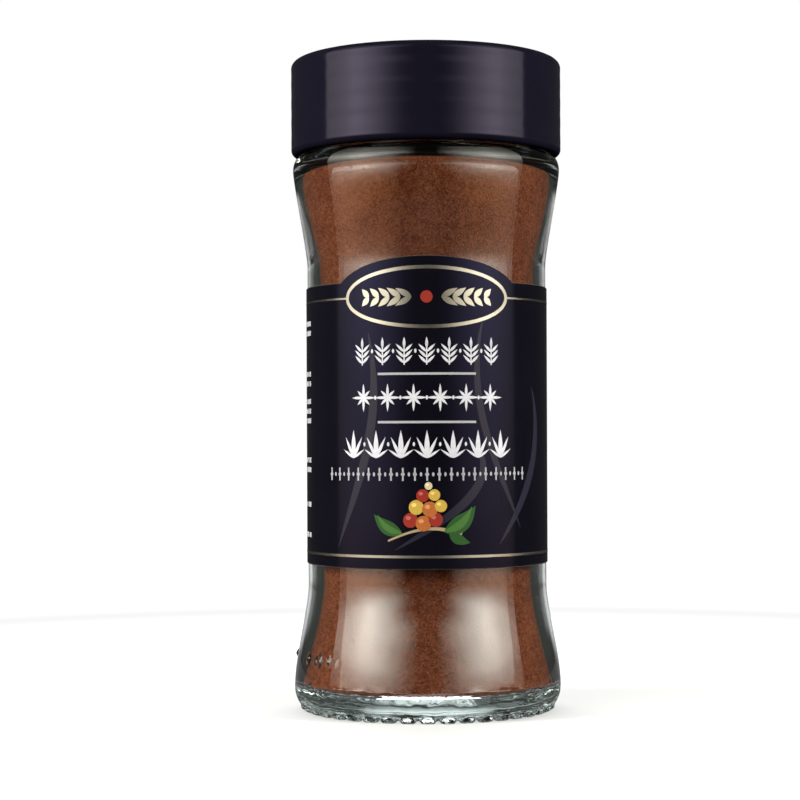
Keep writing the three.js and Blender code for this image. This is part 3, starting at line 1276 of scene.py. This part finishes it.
@dataclass
class WrappedLabel:
    """The film wrapped round the waist, with an arch over its front, and all that is printed on it."""

    inner: float = 19.385 * MM
    top: float = 68.3 * MM
    arch_z: float = 65.9 * MM
    arch_half_width: float = 16.0 * MM
    seam_gap: float = 3.0 * MM
    bevel: float = 0.05 * MM
    thinnest_bevel: float = 0.4
    sheet_steps: int = 8
    columns: int = 480
    margin: float = 0.12 * MM
    margin_out: float = 0.12 * MM
    print_out: tuple[float, float] = (-0.02 * MM, 0.025 * MM)
    band_out: tuple[float, float] = (-0.02 * MM, 0.008 * MM)
    layer: float = 0.006 * MM
    ring_half: tuple[float, float] = (13.35 * MM, 4.6 * MM)
    ring_stroke: float = 0.27 * MM
    ring_steps: int = 160
    side_line: float = 0.28 * MM
    low_line: float = 0.40 * MM
    low_line_z: float = 25.75 * MM
    line_ends: float = 1.0 * MM
    line_overlap: float = 0.1 * MM
    foil_leaves: int = 5
    foil_leaf_from: float = 2.3 * MM
    foil_leaf_pitch: float = 1.75 * MM
    foil_leaf: tuple[float, float] = (2.9 * MM, 0.46 * MM)
    foil_leaf_shrink: float = 0.28 * MM
    foil_leaf_turn: tuple[float, float] = (62.0, 5.0)
    dot: float = 0.95 * MM
    rule_half: float = 7.8 * MM
    rule_z: tuple[float, float] = (54.03 * MM, 46.56 * MM)
    rule_height: float = 0.36 * MM
    blocks: tuple[Block, ...] = (
        Block(63.0, 2), Block(54.9, 2), Block(50.5, 3), Block(41.1, 2), Block(34.0, 1), Block(29.1, 1),
    )
    blocks_from: tuple[float, float] = (24.4 * MM, 31.5 * MM)
    blocks_to: float = 50.0 * MM
    bar_height: float = 0.8 * MM
    bar_pitch: float = 1.55 * MM
    bar_shortest: float = 0.9 * MM
    bar_spread: float = 2.6 * MM
    bar_gap: float = 0.55 * MM
    bar_seed: int = 5
    bands: tuple[Band, ...] = (
        Band(-15.5, 7.0, 27.0, 60.5, 0.75), Band(16.5, -8.5, 30.0, 63.0, 0.6),
        Band(-5.0, 14.0, 26.8, 44.0, 0.7), Band(12.0, 9.0, 27.5, 52.0, 0.8),
    )
    band_turn: float = 2.1
    band_end: float = 0.03
    band_swell: float = 0.7
    leaves: tuple[Leaf, ...] = (
        Leaf((2.6, 29.6), 52, 6.4, 1.35, LEAF_GREEN, 0.10),
        Leaf((2.6, 29.6), 49, 5.9, 0.62, PALE_GREEN, 0.14),
        Leaf((-3.9, 29.4), -58, 5.4, 1.1, LEAF_GREEN, -0.10),
        Leaf((-3.9, 29.4), -55, 4.9, 0.5, PALE_GREEN, -0.14),
        Leaf((3.4, 29.2), 112, 3.6, 0.8, LEAF_GREEN, 0.05),
    )
    fruits: tuple[Fruit, ...] = (
        Fruit(-2.6, 31.4, 1.15, RED), Fruit(-0.6, 30.9, 1.2, ORANGE), Fruit(1.3, 31.5, 1.1, RED),
        Fruit(-1.7, 33.4, 1.15, YELLOW), Fruit(0.4, 33.1, 1.2, ORANGE), Fruit(2.1, 33.6, 0.95, YELLOW),
        Fruit(-0.7, 35.2, 1.0, RED), Fruit(1.1, 35.3, 0.9, YELLOW), Fruit(0.2, 36.7, 0.6, CREAM),
    )
    low: Vector = field(default_factory=lambda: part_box("label")[0])
    high: Vector = field(default_factory=lambda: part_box("label")[1])
    rows: tuple[Row, ...] = (
        Row("row_high", 55.4 * MM, 4.3 * MM, 10.5 * MM, 7, Motif.EAR, Motif.TICK),
        Row("row_middle", 48.2 * MM, 4.3 * MM, 10.3 * MM, 6, Motif.STAR, Motif.TICK),
        Row("row_low", 41.0 * MM, 4.3 * MM, 12.2 * MM, 7, Motif.SPRAY, Motif.TICK),
        Row("row_small", 37.5 * MM, 2.0 * MM, 17.0 * MM, 19, Motif.POST, Motif.TICK),
    )

    @property
    def face(self) -> float:
        """Radius of the label's face."""
        return self.high.x

    def top_edge(self, along: Array, grow: float = 0.0) -> Array:
        """Height of the label's top edge.

        Args:
            along: distance from the front's middle, round the label.
            grow: distance that the edge is moved outwards.

        Returns:
            The height at each distance.
        """
        half_width = self.arch_half_width + grow
        half_height = self.high.z - self.arch_z + grow
        inside = np.clip(1 - (along / half_width) ** 2, 0, 1)
        return np.maximum(self.top + grow, self.arch_z + half_height * np.sqrt(inside))

    def sheet(self, name: str, grow: float, outer: float, finish: bpy.types.Material) -> bpy.types.Object:
        """A wrapped sheet with softened edges.

        Args:
            name: the object's name.
            grow: distance that its outline is moved outwards.
            outer: radius of its face.
            finish: its material.

        Returns:
            The piece.
        """
        half = math.pi * self.face - self.seam_gap / 2 + grow
        along = np.linspace(-half, half, self.columns + 1)
        top = self.top_edge(along, grow)
        bottom = self.low.z - grow
        soft = min(self.bevel, self.thinnest_bevel * (outer - self.inner))
        shares = np.linspace(0, 1, self.sheet_steps + 1)
        levels = [(0.0, self.inner), (0.0, outer - soft)]
        levels += [(share, outer) for share in shares]
        levels += [(1.0, outer - soft), (1.0, self.inner)]
        levels += [(share, self.inner) for share in shares[-2:0:-1]]
        angle = along / self.face
        rings = []
        for share, radius in levels:
            inset = soft if radius == outer else 0.0
            up = (bottom + inset) + share * ((top - inset) - (bottom + inset))
            rings.append(np.column_stack([radius * np.sin(angle), -radius * np.cos(angle), up]))
        points = np.concatenate(rings)
        wide = len(along)
        count = len(levels)
        faces = []
        for i in range(count):
            j = (i + 1) % count
            faces += [(i * wide + k, i * wide + k + 1, j * wide + k + 1, j * wide + k)
                      for k in range(wide - 1)]
        faces.append(tuple(i * wide for i in range(count)))
        faces.append(tuple(i * wide + wide - 1 for i in reversed(range(count))))
        return dressed(mesh_object(name, points, faces, 30), finish)

    def foil_frame(self, finish: bpy.types.Material) -> bpy.types.Object:
        """The oval foil ring, the foil lines beside it and the one near the bottom.

        Args:
            finish: its material.

        Returns:
            The piece.
        """
        art = Patch()
        angle = FULL_TURN * np.arange(self.ring_steps) / self.ring_steps
        wide, high = self.ring_half
        spine = np.column_stack([wide * np.cos(angle), self.arch_z + high * np.sin(angle)])
        art.ribbon(spine, np.full(self.ring_steps, self.ring_stroke), self.print_out, closed=True)
        end = math.pi * self.face - self.seam_gap / 2 - self.line_ends
        for side in (-1, 1):
            near, far = sorted((side * (wide - self.line_overlap), side * end))
            art.bar(near, far, self.arch_z, self.side_line, self.print_out)
        art.bar(-end, end, self.low_line_z, self.low_line, self.print_out)
        length, half_width = self.foil_leaf
        for side in (-1, 1):
            for step in range(self.foil_leaves):
                foot = (side * (self.foil_leaf_from + self.foil_leaf_pitch * step), self.arch_z)
                turn = self.foil_leaf_turn[0] - self.foil_leaf_turn[1] * step
                for degrees in (turn, 180 - turn):
                    self.leaflet(art, foot, side * degrees, length - self.foil_leaf_shrink * step, half_width)
        return art.wrapped_object("foil_frame", self.face, finish)

    def leaflet(self, art: Patch, foot: tuple[float, float], degrees: float, length: float, half_width: float,
                ink: Colour = (1, 1, 1), bend: float = 0.0, lift: float = 0.0) -> None:
        """Adds a pointed leaf.

        Args:
            art: where it is added.
            foot: its stalk's end, as (along, up).
            degrees: the way it points, clockwise from straight up.
            length: its length.
            half_width: its largest half-width.
            ink: its colour.
            bend: sideways bow of its middle line, as a share of its length.
            lift: how far it stands above the rest of the print.
        """
        t = np.linspace(0, 1, 15)
        angle = math.radians(degrees)
        ahead = np.array([math.sin(angle), math.cos(angle)])
        aside = np.array([math.cos(angle), -math.sin(angle)])
        spine = np.array(foot) + length * (t[:, None] * ahead + bend * np.sin(math.pi * t)[:, None] * aside)
        width = half_width * np.maximum(np.sin(math.pi * t ** 0.8), 0.02)
        art.ribbon(spine, width, self.raised(lift), ink, 4)

    def raised(self, lift: float) -> tuple[float, float]:
        """How far in and out a shape reaches that lies on top of the rest of the print."""
        return (self.print_out[0], self.print_out[1] + lift)

    def motif(self, kind: Motif, height: float) -> Patch:
        """One plain shape, standing on the origin.

        Args:
            kind: which shape.
            height: its height.

        Returns:
            The shape.
        """
        art = Patch()
        out = self.print_out
        up = np.linspace(0, 1, 13)
        if kind is Motif.EAR:
            stem = np.column_stack([np.zeros(13), 0.8 * height * up])
            art.ribbon(stem, np.full(13, 0.10 * MM), out)
            for foot in (0.06, 0.26, 0.46):
                for side in (-1, 1):
                    self.leaflet(art, (0, foot * height), side * 46, 0.42 * height, 0.20 * MM)
            self.leaflet(art, (0, 0.60 * height), 0, 0.40 * height, 0.22 * MM)
        elif kind is Motif.STAR:
            for turn in range(8):
                length = (0.50 if turn % 2 == 0 else 0.36) * height
                self.leaflet(art, (0, 0.5 * height), 45 * turn, length, 0.21 * MM)
        elif kind is Motif.SPRAY:
            self.leaflet(art, (0, 0), 0, height, 0.40 * MM)
            for side in (-1, 1):
                self.leaflet(art, (0, 0), side * 26, 0.84 * height, 0.25 * MM)
                self.leaflet(art, (0, 0), side * 56, 0.56 * height, 0.19 * MM)
        elif kind is Motif.POST:
            post = np.column_stack([np.zeros(13), height * up])
            art.ribbon(post, 0.13 * MM * np.ones(13), out)
            art.disc((0, 0.5 * height), (0.30 * MM, 0.30 * MM), out)
        else:
            art.disc((0, 0.5 * height), (0.18 * MM, 0.32 * MM), out)
        return art

    def row_tree(self, finish: bpy.types.Material) -> tuple[Tree, dict[str, str]]:
        """A geometry tree that repeats a flat shape along a row and wraps the row round the jar.

        Args:
            finish: the row's material.

        Returns:
            The tree, and its inputs' identifiers by name.
        """
        kinds = {"Count": "NodeSocketInt", "Pitch": "NodeSocketFloat", "First": "NodeSocketFloat",
                 "Up": "NodeSocketFloat", "Radius": "NodeSocketFloat"}
        tree, given, names = geometry_tree("print_row", kinds)
        start = tree.node("ShaderNodeCombineXYZ",
                          inputs={"X": given.outputs["First"], "Z": given.outputs["Up"]})
        offset = tree.node("ShaderNodeCombineXYZ", inputs={"X": given.outputs["Pitch"]})
        places = tree.node("GeometryNodeMeshLine", {"mode": "OFFSET"},
                           {"Count": given.outputs["Count"], "Start Location": start.outputs[0],
                            "Offset": offset.outputs[0]})
        placed = tree.node("GeometryNodeInstanceOnPoints",
                           inputs={"Points": places.outputs[0], "Instance": given.outputs["Geometry"]})
        real = tree.node("GeometryNodeRealizeInstances", inputs={"Geometry": placed.outputs[0]})
        parts = tree.node("ShaderNodeSeparateXYZ",
                          inputs={0: tree.node("GeometryNodeInputPosition").outputs[0]})
        radius = tree.number(given.outputs["Radius"])
        angle = tree.number(parts.outputs["X"]) / radius
        reach = radius - tree.number(parts.outputs["Y"])
        wrapped = tree.node("ShaderNodeCombineXYZ",
                            inputs={"X": reach * angle.sine(), "Y": 0 - reach * angle.cosine(),
                                    "Z": parts.outputs["Z"]})
        moved = tree.node("GeometryNodeSetPosition",
                          inputs={"Geometry": real.outputs[0], "Position": wrapped.outputs[0]})
        finish_tree(tree, moved.outputs[0], finish)
        return tree, names

    def row_pieces(self, row: Row, finish: bpy.types.Material) -> list[bpy.types.Object]:
        """The motifs of one row, and the small ticks between them.

        Args:
            row: the row.
            finish: its material.

        Returns:
            The pieces.
        """
        tree, names = self.row_tree(finish)
        pitch = 2 * row.half_length / (row.count - 1)
        made = []
        parts = (("", row.motif, -row.half_length, row.count),
                 ("_ticks", row.between, -row.half_length + pitch / 2, row.count - 1))
        for part, kind, first, count in parts:
            flat = self.motif(kind, row.height).flat_object(row.name + part + "_motif")
            values = {names["Count"]: count, names["Pitch"]: pitch, names["First"]: first,
                      names["Up"]: row.up, names["Radius"]: self.face}
            made.append(grown(row.name + part, flat, tree, values))
        return made

    def rules(self, finish: bpy.types.Material) -> bpy.types.Object:
        """The two thin rules between the rows, and the small bars on the sides and back.

        Args:
            finish: its material.

        Returns:
            The piece.
        """
        art = Patch()
        for z in self.rule_z:
            art.bar(-self.rule_half, self.rule_half, z, self.rule_height, self.print_out)
        chance = np.random.default_rng(self.bar_seed)
        for side, start in zip((-1, 1), self.blocks_from):
            for block in self.blocks:
                for n in range(block.lines):
                    up = block.top * MM - self.bar_pitch * n - 0.5 * MM
                    along = start
                    while along < self.blocks_to:
                        length = self.bar_shortest + self.bar_spread * chance.random()
                        near, far = sorted((side * along, side * (along + length)))
                        art.bar(near, far, up, self.bar_height, self.print_out)
                        along += length + self.bar_gap
        return art.wrapped_object("label_rules", self.face, finish)

    def faint_bands(self, finish: bpy.types.Material) -> bpy.types.Object:
        """Broad faint curved bands behind the print.

        Args:
            finish: its material.

        Returns:
            The piece.
        """
        art = Patch()
        t = np.linspace(0, 1, 70)
        swell = np.maximum(np.sin(math.pi * t), self.band_end) ** self.band_swell
        for band in self.bands:
            along = band.foot + band.bow * np.sin(self.band_turn * t)
            spine = MM * np.column_stack([along, band.low + (band.high - band.low) * t])
            art.ribbon(spine, band.half_width * swell * MM, self.band_out, columns=3)
        return art.wrapped_object("label_bands", self.face, finish)

    def sprig(self, finish: bpy.types.Material) -> bpy.types.Object:
        """A plain sprig: two leaves and a cluster of round fruits on one bowed stem.

        Args:
            finish: its material.

        Returns:
            The piece.
        """
        art = Patch()
        t = np.linspace(0, 1, 30)
        stem = np.column_stack([(-6.2 + 11.6 * t) * MM, (28.2 + 1.9 * np.sin(2.6 * t)) * MM])
        art.ribbon(stem, (0.14 + 0.16 * t) * MM, self.print_out, STEM_BROWN)
        for n, leaf in enumerate(self.leaves):
            foot = (leaf.foot[0] * MM, leaf.foot[1] * MM)
            self.leaflet(art, foot, leaf.degrees, leaf.length * MM, leaf.half_width * MM, leaf.ink, leaf.bend,
                         (n + 1) * self.layer)
        for n, fruit in enumerate(self.fruits):
            lift = (len(self.leaves) + 1 + 2 * n) * self.layer
            size = fruit.radius * MM
            along, up = fruit.along * MM, fruit.up * MM
            art.disc((along, up), (size, size), self.raised(lift), fruit.ink)
            shine = tuple(min(1.0, 1.5 * c + 0.06) for c in fruit.ink)
            art.disc((along - 0.3 * size, up + 0.32 * size), (0.34 * size, 0.26 * size),
                     self.raised(lift + self.layer), shine, 8)
        return art.wrapped_object("label_sprig", self.face, finish)

    def emblem_dot(self, finish: bpy.types.Material) -> bpy.types.Object:
        """The red spot in the middle of the oval frame.

        Args:
            finish: its material.

        Returns:
            The piece.
        """
        art = Patch()
        art.disc((0, self.arch_z), (self.dot, self.dot), self.print_out, RED, 18)
        return art.wrapped_object("emblem_dot", self.face, finish)


# ---------------------------------------------------------------- the studio


def glow_material(name: str, strength: float) -> bpy.types.Material:
    """Light given off in proportion to a surface's glow attribute.

    Args:
        name: the material's name.
        strength: brightness where the glow is 1.

    Returns:
        The material.
    """
    material = bpy.data.materials.new(name)
    material.use_nodes = True
    tree = Tree(material.node_tree)
    glow = tree.node("ShaderNodeAttribute", {"attribute_name": GLOW}).outputs["Color"]
    light = tree.node("ShaderNodeEmission", inputs={"Color": glow, "Strength": strength})
    tree.node("ShaderNodeOutputMaterial", inputs={0: light.outputs[0]})
    return material


def floor_material(grey: float, roughness: float) -> bpy.types.Material:
    """A floor that is grey where its glow is low, and gives off white light where it is high.

    Args:
        grey: how pale the grey is.
        roughness: its roughness.

    Returns:
        The material.
    """
    material = bpy.data.materials.new("floor")
    material.use_nodes = True
    tree = Tree(material.node_tree)
    shine = tree.number(tree.node("ShaderNodeAttribute", {"attribute_name": GLOW}).outputs["Fac"])
    pale = tree.mix(shine.ramp(0.10, 1.0), (grey, grey, grey), (0.0, 0.0, 0.0))
    inputs = {"Base Color": pale, "Roughness": roughness, "Specular IOR Level": 0.0,
              "Emission Color": (1, 1, 1, 1), "Emission Strength": shine}
    shader = tree.node("ShaderNodeBsdfPrincipled", inputs=inputs)
    tree.node("ShaderNodeOutputMaterial", inputs={0: shader.outputs[0]})
    return material


def hide(made: bpy.types.Object, *rays: str) -> None:
    """Hides an object from kinds of ray: camera, diffuse, glossy, transmission or shadow."""
    for ray in rays:
        setattr(made, "visible_" + ray, False)


def glowing(name: str, points: Array, faces: Sequence[Sequence[int]], glow: Array,
            finish: bpy.types.Material) -> bpy.types.Object:
    """A part of the studio that gives light.

    Args:
        name: the object's name.
        points: rows of (x, y, z).
        faces: corner indices.
        glow: how brightly each point glows, as rows of (red, green, blue) or as one value each.
        finish: its material.

    Returns:
        The object.
    """
    made = dressed(mesh_object(name, points, faces, ALL_SMOOTH), finish)
    store_colours(made, GLOW, glow if glow.ndim == 2 else np.column_stack([glow] * 3))
    return made


def curved_wall(distance: float, azimuth: Array, heights: Array) -> tuple[Array, list[tuple[int, ...]]]:
    """An upright curved wall round the jar.

    Args:
        distance: its distance from the axis.
        azimuth: where its columns stand.
        heights: heights of its rows.

    Returns:
        Rows of (x, y, z), row by row, and the faces.
    """
    points = np.array([(distance * math.cos(a), distance * math.sin(a), z) for z in heights for a in azimuth])
    wide = len(azimuth)
    faces = [(r * wide + k, r * wide + k + 1, (r + 1) * wide + k + 1, (r + 1) * wide + k)
             for r in range(len(heights) - 1) for k in range(wide - 1)]
    return points, faces


@dataclass(frozen=True)
class Level:
    """A level of a soft panel: its height, its brightness there, and how warm the light is."""

    height: float
    brightness: float
    warmth: float = 0.0


@dataclass(frozen=True)
class SoftPanel:
    """One tall curved panel of soft light, dim below a level and dark towards the front."""

    name: str
    side: int
    strength: float
    far_edge: float
    distance: float = 1.4
    turns: tuple[float, ...] = (8, 14, 21, 26, 32, 43, 55, 63, 70, 80)
    low_share: tuple[float, ...] = (0, 0, 0, 0.18, 0.38, 0.62, 0.72, 0.76, 0.76, 0.68, 0.35)
    lower_share: tuple[float, ...] = (0, 0.03, 0.11, 0.26, 0.43, 0.64, 0.79, 0.78, 0.62, 0.42, 0.22)
    middle_share: tuple[float, ...] = (0, 0, 0.03, 0.10, 0.22, 0.54, 0.86, 0.88, 0.61, 0.43, 0.30)
    high_share: tuple[float, ...] = (0, 0.14, 0.30, 0.46, 0.63, 0.80, 1.0, 0.90, 0.77, 0.50, 0.36)
    share_heights: tuple[float, ...] = (-0.05, 0.10, 0.36, 0.50)
    levels: tuple[Level, ...] = (
        Level(-0.45, 0.8, 1.0), Level(-0.20, 1.25, 1.0), Level(-0.07, 2.0, 0.5), Level(0.05, 3.3, 0.15),
        Level(0.17, 4.9), Level(0.26, 9.0), Level(0.33, 9.6), Level(0.44, 9.0), Level(0.60, 5.8),
        Level(0.90, 2.5), Level(1.75, 1.2),
    )
    columns: int = 44
    rows: int = 12
    cool: Colour = (1.0, 0.985, 0.88)
    warm: Colour = (1.0, 0.45, 0.20)

    def across(self, degrees: Array, heights: Array) -> Array:
        """How the light changes across the panel, which differs with height.

        Args:
            degrees: angles from the front.
            heights: heights of the panel's rows.

        Returns:
            A share for each row and angle.
        """
        turns = (*self.turns, self.far_edge)
        shares = np.array([np.interp(degrees, turns, share) for share in
                           (self.low_share, self.lower_share, self.middle_share, self.high_share)])
        return np.array([np.interp(heights, self.share_heights, column) for column in shares.T]).T

    def build(self) -> None:
        """Builds the panel."""
        levels = np.array([level.height for level in self.levels])
        even = np.linspace(levels[0], levels[-1], self.rows)
        heights = np.unique(np.concatenate([levels, self.share_heights, even]))
        degrees = np.linspace(self.turns[0], self.far_edge, self.columns)
        points, faces = curved_wall(self.distance, FRONT + self.side * np.radians(degrees), heights)
        upward = np.interp(heights, levels, [level.brightness for level in self.levels])
        warmth = np.interp(heights, levels, [level.warmth for level in self.levels])[:, None]
        tint = (1 - warmth) * np.array(self.cool) + warmth * np.array(self.warm)
        glow = (upward[:, None] * self.across(degrees, heights))[:, :, None] * tint[:, None, :]
        finish = glow_material(self.name, self.strength)
        hide(glowing(self.name, points, faces, glow.reshape(-1, 3), finish), "camera")


@dataclass(frozen=True)
class Ring:
    """A ring of a flat disc: its radius, its glow, and the share that is added straight behind the jar."""

    radius: float
    glow: float
    behind: float = 0.0


@dataclass
class Studio:
    """A pale floor, a white surround, two soft panels, a light overhead and the camera."""

    eye: tuple[float, float, float] = (0.0, -0.338, 0.0448)
    lens: float = 93.0
    sensor: float = 36.0
    lean: float = 0.22
    shift: tuple[float, float] = (-0.03375, 0.04175)
    surround: Colour = (0.040, 0.042, 0.038)
    disc_sides: int = 72
    behind_narrowness: int = 12
    floor_rings: tuple[Ring, ...] = (
        Ring(0.03, 0.10), Ring(0.06, 0.10), Ring(0.1, 0.16), Ring(0.15, 0.32), Ring(0.2, 1.02),
        Ring(0.26, 1.04), Ring(0.45, 1.05), Ring(1.0, 1.05), Ring(6.0, 1.05),
    )
    floor_grey: float = 0.62
    floor_roughness: float = 0.9
    table_rings: tuple[Ring, ...] = (
        Ring(0.018, 0.10), Ring(0.03, 0.16), Ring(0.06, 0.22, 3.0), Ring(0.12, 0.20, 3.0),
        Ring(0.25, 0.12, 1.0),
    )
    table_z: float = -0.4 * MM
    strip_half_width: float = 8.0 * MM
    strip_front: float = -45.0 * MM
    strip_back: float = 24.0 * MM
    strip_z: float = -0.3 * MM
    strip_glow: float = 2.8
    back_distance: float = 1.5
    back_degrees: float = 21.0
    back_fade: float = 9.0
    back_columns: int = 17
    back_levels: tuple[Level, ...] = (
        Level(-0.4, 1.0), Level(-0.1, 1.0), Level(0.1, 0.8), Level(0.2, 0.3), Level(0.3, 0.0),
    )
    back_glow: float = 1.2
    aim: tuple[float, float, float] = (0.0, 0.0, 0.05)
    fill_power: tuple[float, float] = (26.0, 22.0)
    fill_size: tuple[float, float] = (0.3, 0.6)
    fill_distance: float = 1.2
    fill_degrees: float = 75.0
    fill_z: float = 0.32
    overhead_place: tuple[float, float, float] = (0.0, 0.62, 1.15)
    overhead_size: tuple[float, float] = (1.0, 0.5)
    overhead_power: float = 14.0
    panels: tuple[SoftPanel, ...] = (SoftPanel("panel_left", -1, 1.03, 92),
                                     SoftPanel("panel_right", 1, 0.96, 89.5))

    def disc(self, name: str, rings: Sequence[Ring], z: float,
             finish: bpy.types.Material) -> bpy.types.Object:
        """A flat disc in rings, each with its own glow.

        Args:
            name: the object's name.
            rings: its rings from the middle out.
            z: height of the disc.
            finish: its material.

        Returns:
            The object.
        """
        sides = self.disc_sides
        angle = FULL_TURN * np.arange(sides) / sides
        points = [(0.0, 0.0, z)]
        for ring in rings:
            points += [(ring.radius * math.cos(a), ring.radius * math.sin(a), z) for a in angle]
        faces = [(0, 1 + k, 1 + (k + 1) % sides) for k in range(sides)]
        for r in range(len(rings) - 1):
            for k in range(sides):
                a, b = 1 + r * sides + k, 1 + r * sides + (k + 1) % sides
                faces.append((a, a + sides, b + sides, b))
        behind = np.clip(np.sin(angle), 0, 1) ** self.behind_narrowness
        glow = np.concatenate([[rings[0].glow], *(ring.glow * (1 + ring.behind * behind) for ring in rings)])
        return glowing(name, np.array(points), faces, glow, finish)

    def floor(self) -> None:
        """The pale floor that the camera sees."""
        finish = floor_material(self.floor_grey, self.floor_roughness)
        made = self.disc("floor", self.floor_rings, 0.0, finish)
        hide(made, "diffuse", "glossy", "transmission", "shadow")

    def table(self) -> None:
        """The darker table top that the glass sees below it."""
        made = self.disc("table", self.table_rings, self.table_z, glow_material("table", 1.0))
        hide(made, "camera", "shadow")

    def foot_glow(self) -> None:
        """A pale strip of table right under the foot, which only shows through the glass."""
        half, front, back = self.strip_half_width, self.strip_front, self.strip_back
        corners = ((-half, front), (half, front), (half, back), (-half, back))
        points = np.array([(x, y, self.strip_z) for x, y in corners])
        finish = glow_material("foot_glow", self.strip_glow)
        made = glowing("foot_glow", points, [(0, 1, 2, 3)], np.ones(4), finish)
        hide(made, "camera", "diffuse", "glossy", "shadow")

    def backlight(self) -> None:
        """A pale strip far behind the jar, low down, which only shows through the glass."""
        degrees = np.linspace(-self.back_degrees, self.back_degrees, self.back_columns)
        heights = np.array([level.height for level in self.back_levels])
        upward = np.array([level.brightness for level in self.back_levels])
        points, faces = curved_wall(self.back_distance, -FRONT - np.radians(degrees), heights)
        fade = np.clip((self.back_degrees - np.abs(degrees)) / self.back_fade, 0, 1)
        finish = glow_material("backlight", self.back_glow)
        made = glowing("backlight", points, faces, np.outer(upward, fade).ravel(), finish)
        hide(made, "camera", "diffuse", "glossy")

    def area_light(self, name: str, place: tuple[float, float, float], size: tuple[float, float],
                   power: float) -> None:
        """A light that faces the jar, fills the matt surfaces and shows in no reflection.

        Args:
            name: the light's name.
            place: where it hangs.
            size: its width and height.
            power: its power in watts.
        """
        data = bpy.data.lights.new(name, "AREA")
        data.shape = "RECTANGLE"
        data.size, data.size_y = size
        data.energy = power
        made = bpy.data.objects.new(name, data)
        made.location = place
        made.rotation_euler = (Vector(self.aim) - made.location).to_track_quat("-Z", "Y").to_euler()
        hide(made, "camera", "glossy", "transmission")
        bpy.context.scene.collection.objects.link(made)

    def side_fills(self) -> None:
        """A small light at each side."""
        for side, power in zip((-1, 1), self.fill_power):
            angle = FRONT + side * math.radians(self.fill_degrees)
            place = (self.fill_distance * math.cos(angle), self.fill_distance * math.sin(angle), self.fill_z)
            self.area_light("side_fill", place, self.fill_size, power)

    def world(self) -> None:
        """White where the camera looks past the jar, and dark for all that the jar reflects."""
        world = bpy.data.worlds.new("surround")
        bpy.context.scene.world = world
        world.use_nodes = True
        tree = Tree(world.node_tree)
        dark = tree.node("ShaderNodeBackground", inputs={"Color": tree.colour(self.surround)})
        white = tree.node("ShaderNodeBackground", inputs={"Color": (1, 1, 1, 1)})
        seen = tree.node("ShaderNodeLightPath").outputs["Is Camera Ray"]
        both = tree.node("ShaderNodeMixShader", inputs={0: seen, 1: dark.outputs[0], 2: white.outputs[0]})
        tree.node("ShaderNodeOutputWorld", inputs={0: both.outputs[0]})

    def camera(self) -> None:
        """The level camera, at the photograph's viewing angle."""
        data = bpy.data.cameras.new("camera")
        data.lens = self.lens
        data.sensor_width = self.sensor
        data.shift_x, data.shift_y = self.shift
        data.clip_start = 0.01
        made = bpy.data.objects.new("camera", data)
        made.location = self.eye
        made.rotation_euler = Euler((math.pi / 2, math.radians(self.lean), 0))
        bpy.context.scene.collection.objects.link(made)
        bpy.context.scene.camera = made

    def build(self) -> None:
        """Builds the camera, the floor and the lights."""
        self.camera()
        self.world()
        self.floor()
        self.table()
        self.foot_glow()
        self.area_light("overhead", self.overhead_place, self.overhead_size, self.overhead_power)
        self.backlight()
        self.side_fills()
        for panel in self.panels:
            panel.build()
        scene = bpy.context.scene
        scene.view_settings.view_transform = "Standard"
        scene.cycles.max_bounces = 24
        scene.cycles.transmission_bounces = 20
        scene.cycles.glossy_bounces = 8
        scene.cycles.transparent_max_bounces = 24
        scene.cycles.caustics_reflective = False
        scene.cycles.caustics_refractive = False


# ---------------------------------------------------------------- the whole


def keep(piece: bpy.types.Object, slot: str, node: Optional[str] = None) -> None:
    """Puts a piece on the jar's body.

    Args:
        piece: the piece.
        slot: name of a material slot, which is only logged.
        node: the frame's node that it stands for, if any.
    """
    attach(piece, BODY)
    if node:
        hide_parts(node)
    log.info("%s: %d faces, %s", piece.name, len(piece.data.polygons), slot)


def main() -> None:
    """Builds the studio and every piece, in order."""
    logging.basicConfig(level=logging.INFO, format="%(name)s %(message)s")
    Studio().build()
    jar = GlassJar()
    keep(jar.build(ClearGlass().material()), "clear_glass", "glass_jar")
    powder = PowderFill(jar)
    keep(powder.core(GroundCloves().material()), "ground_cloves", "ground_cloves")
    keep(powder.loose_grains(GroundCloves("loose_grains", loose=True).material()), "ground_cloves")
    cap = ScrewCap().build(jar, CAP_PLASTIC.material(), CAP_PAINTED_SHADE.material())
    keep(cap, "cap_plastic", "cap")
    label = WrappedLabel()
    keep(label.sheet("label_sheet", 0.0, label.face, LABEL_FILM.material()), "label_film", "label")
    edge = label.sheet("label_margin", label.margin, label.inner + label.margin_out, FILM_EDGE.material())
    keep(edge, "label_film")
    keep(label.foil_frame(FOIL.material()), "label_film")
    silver, grey = SILVER_INK.material(), GREY_INK.material()
    for row in label.rows:
        for piece in label.row_pieces(row, grey if row.motif is Motif.POST else silver):
            keep(piece, "label_film")
    keep(label.rules(grey), "label_film")
    keep(label.faint_bands(FAINT_INK.material()), "label_film")
    picture = PICTURE_INK.material()
    keep(label.sprig(picture), "label_film")
    keep(label.emblem_dot(picture), "label_film")


if __name__ == "__main__":
    main()
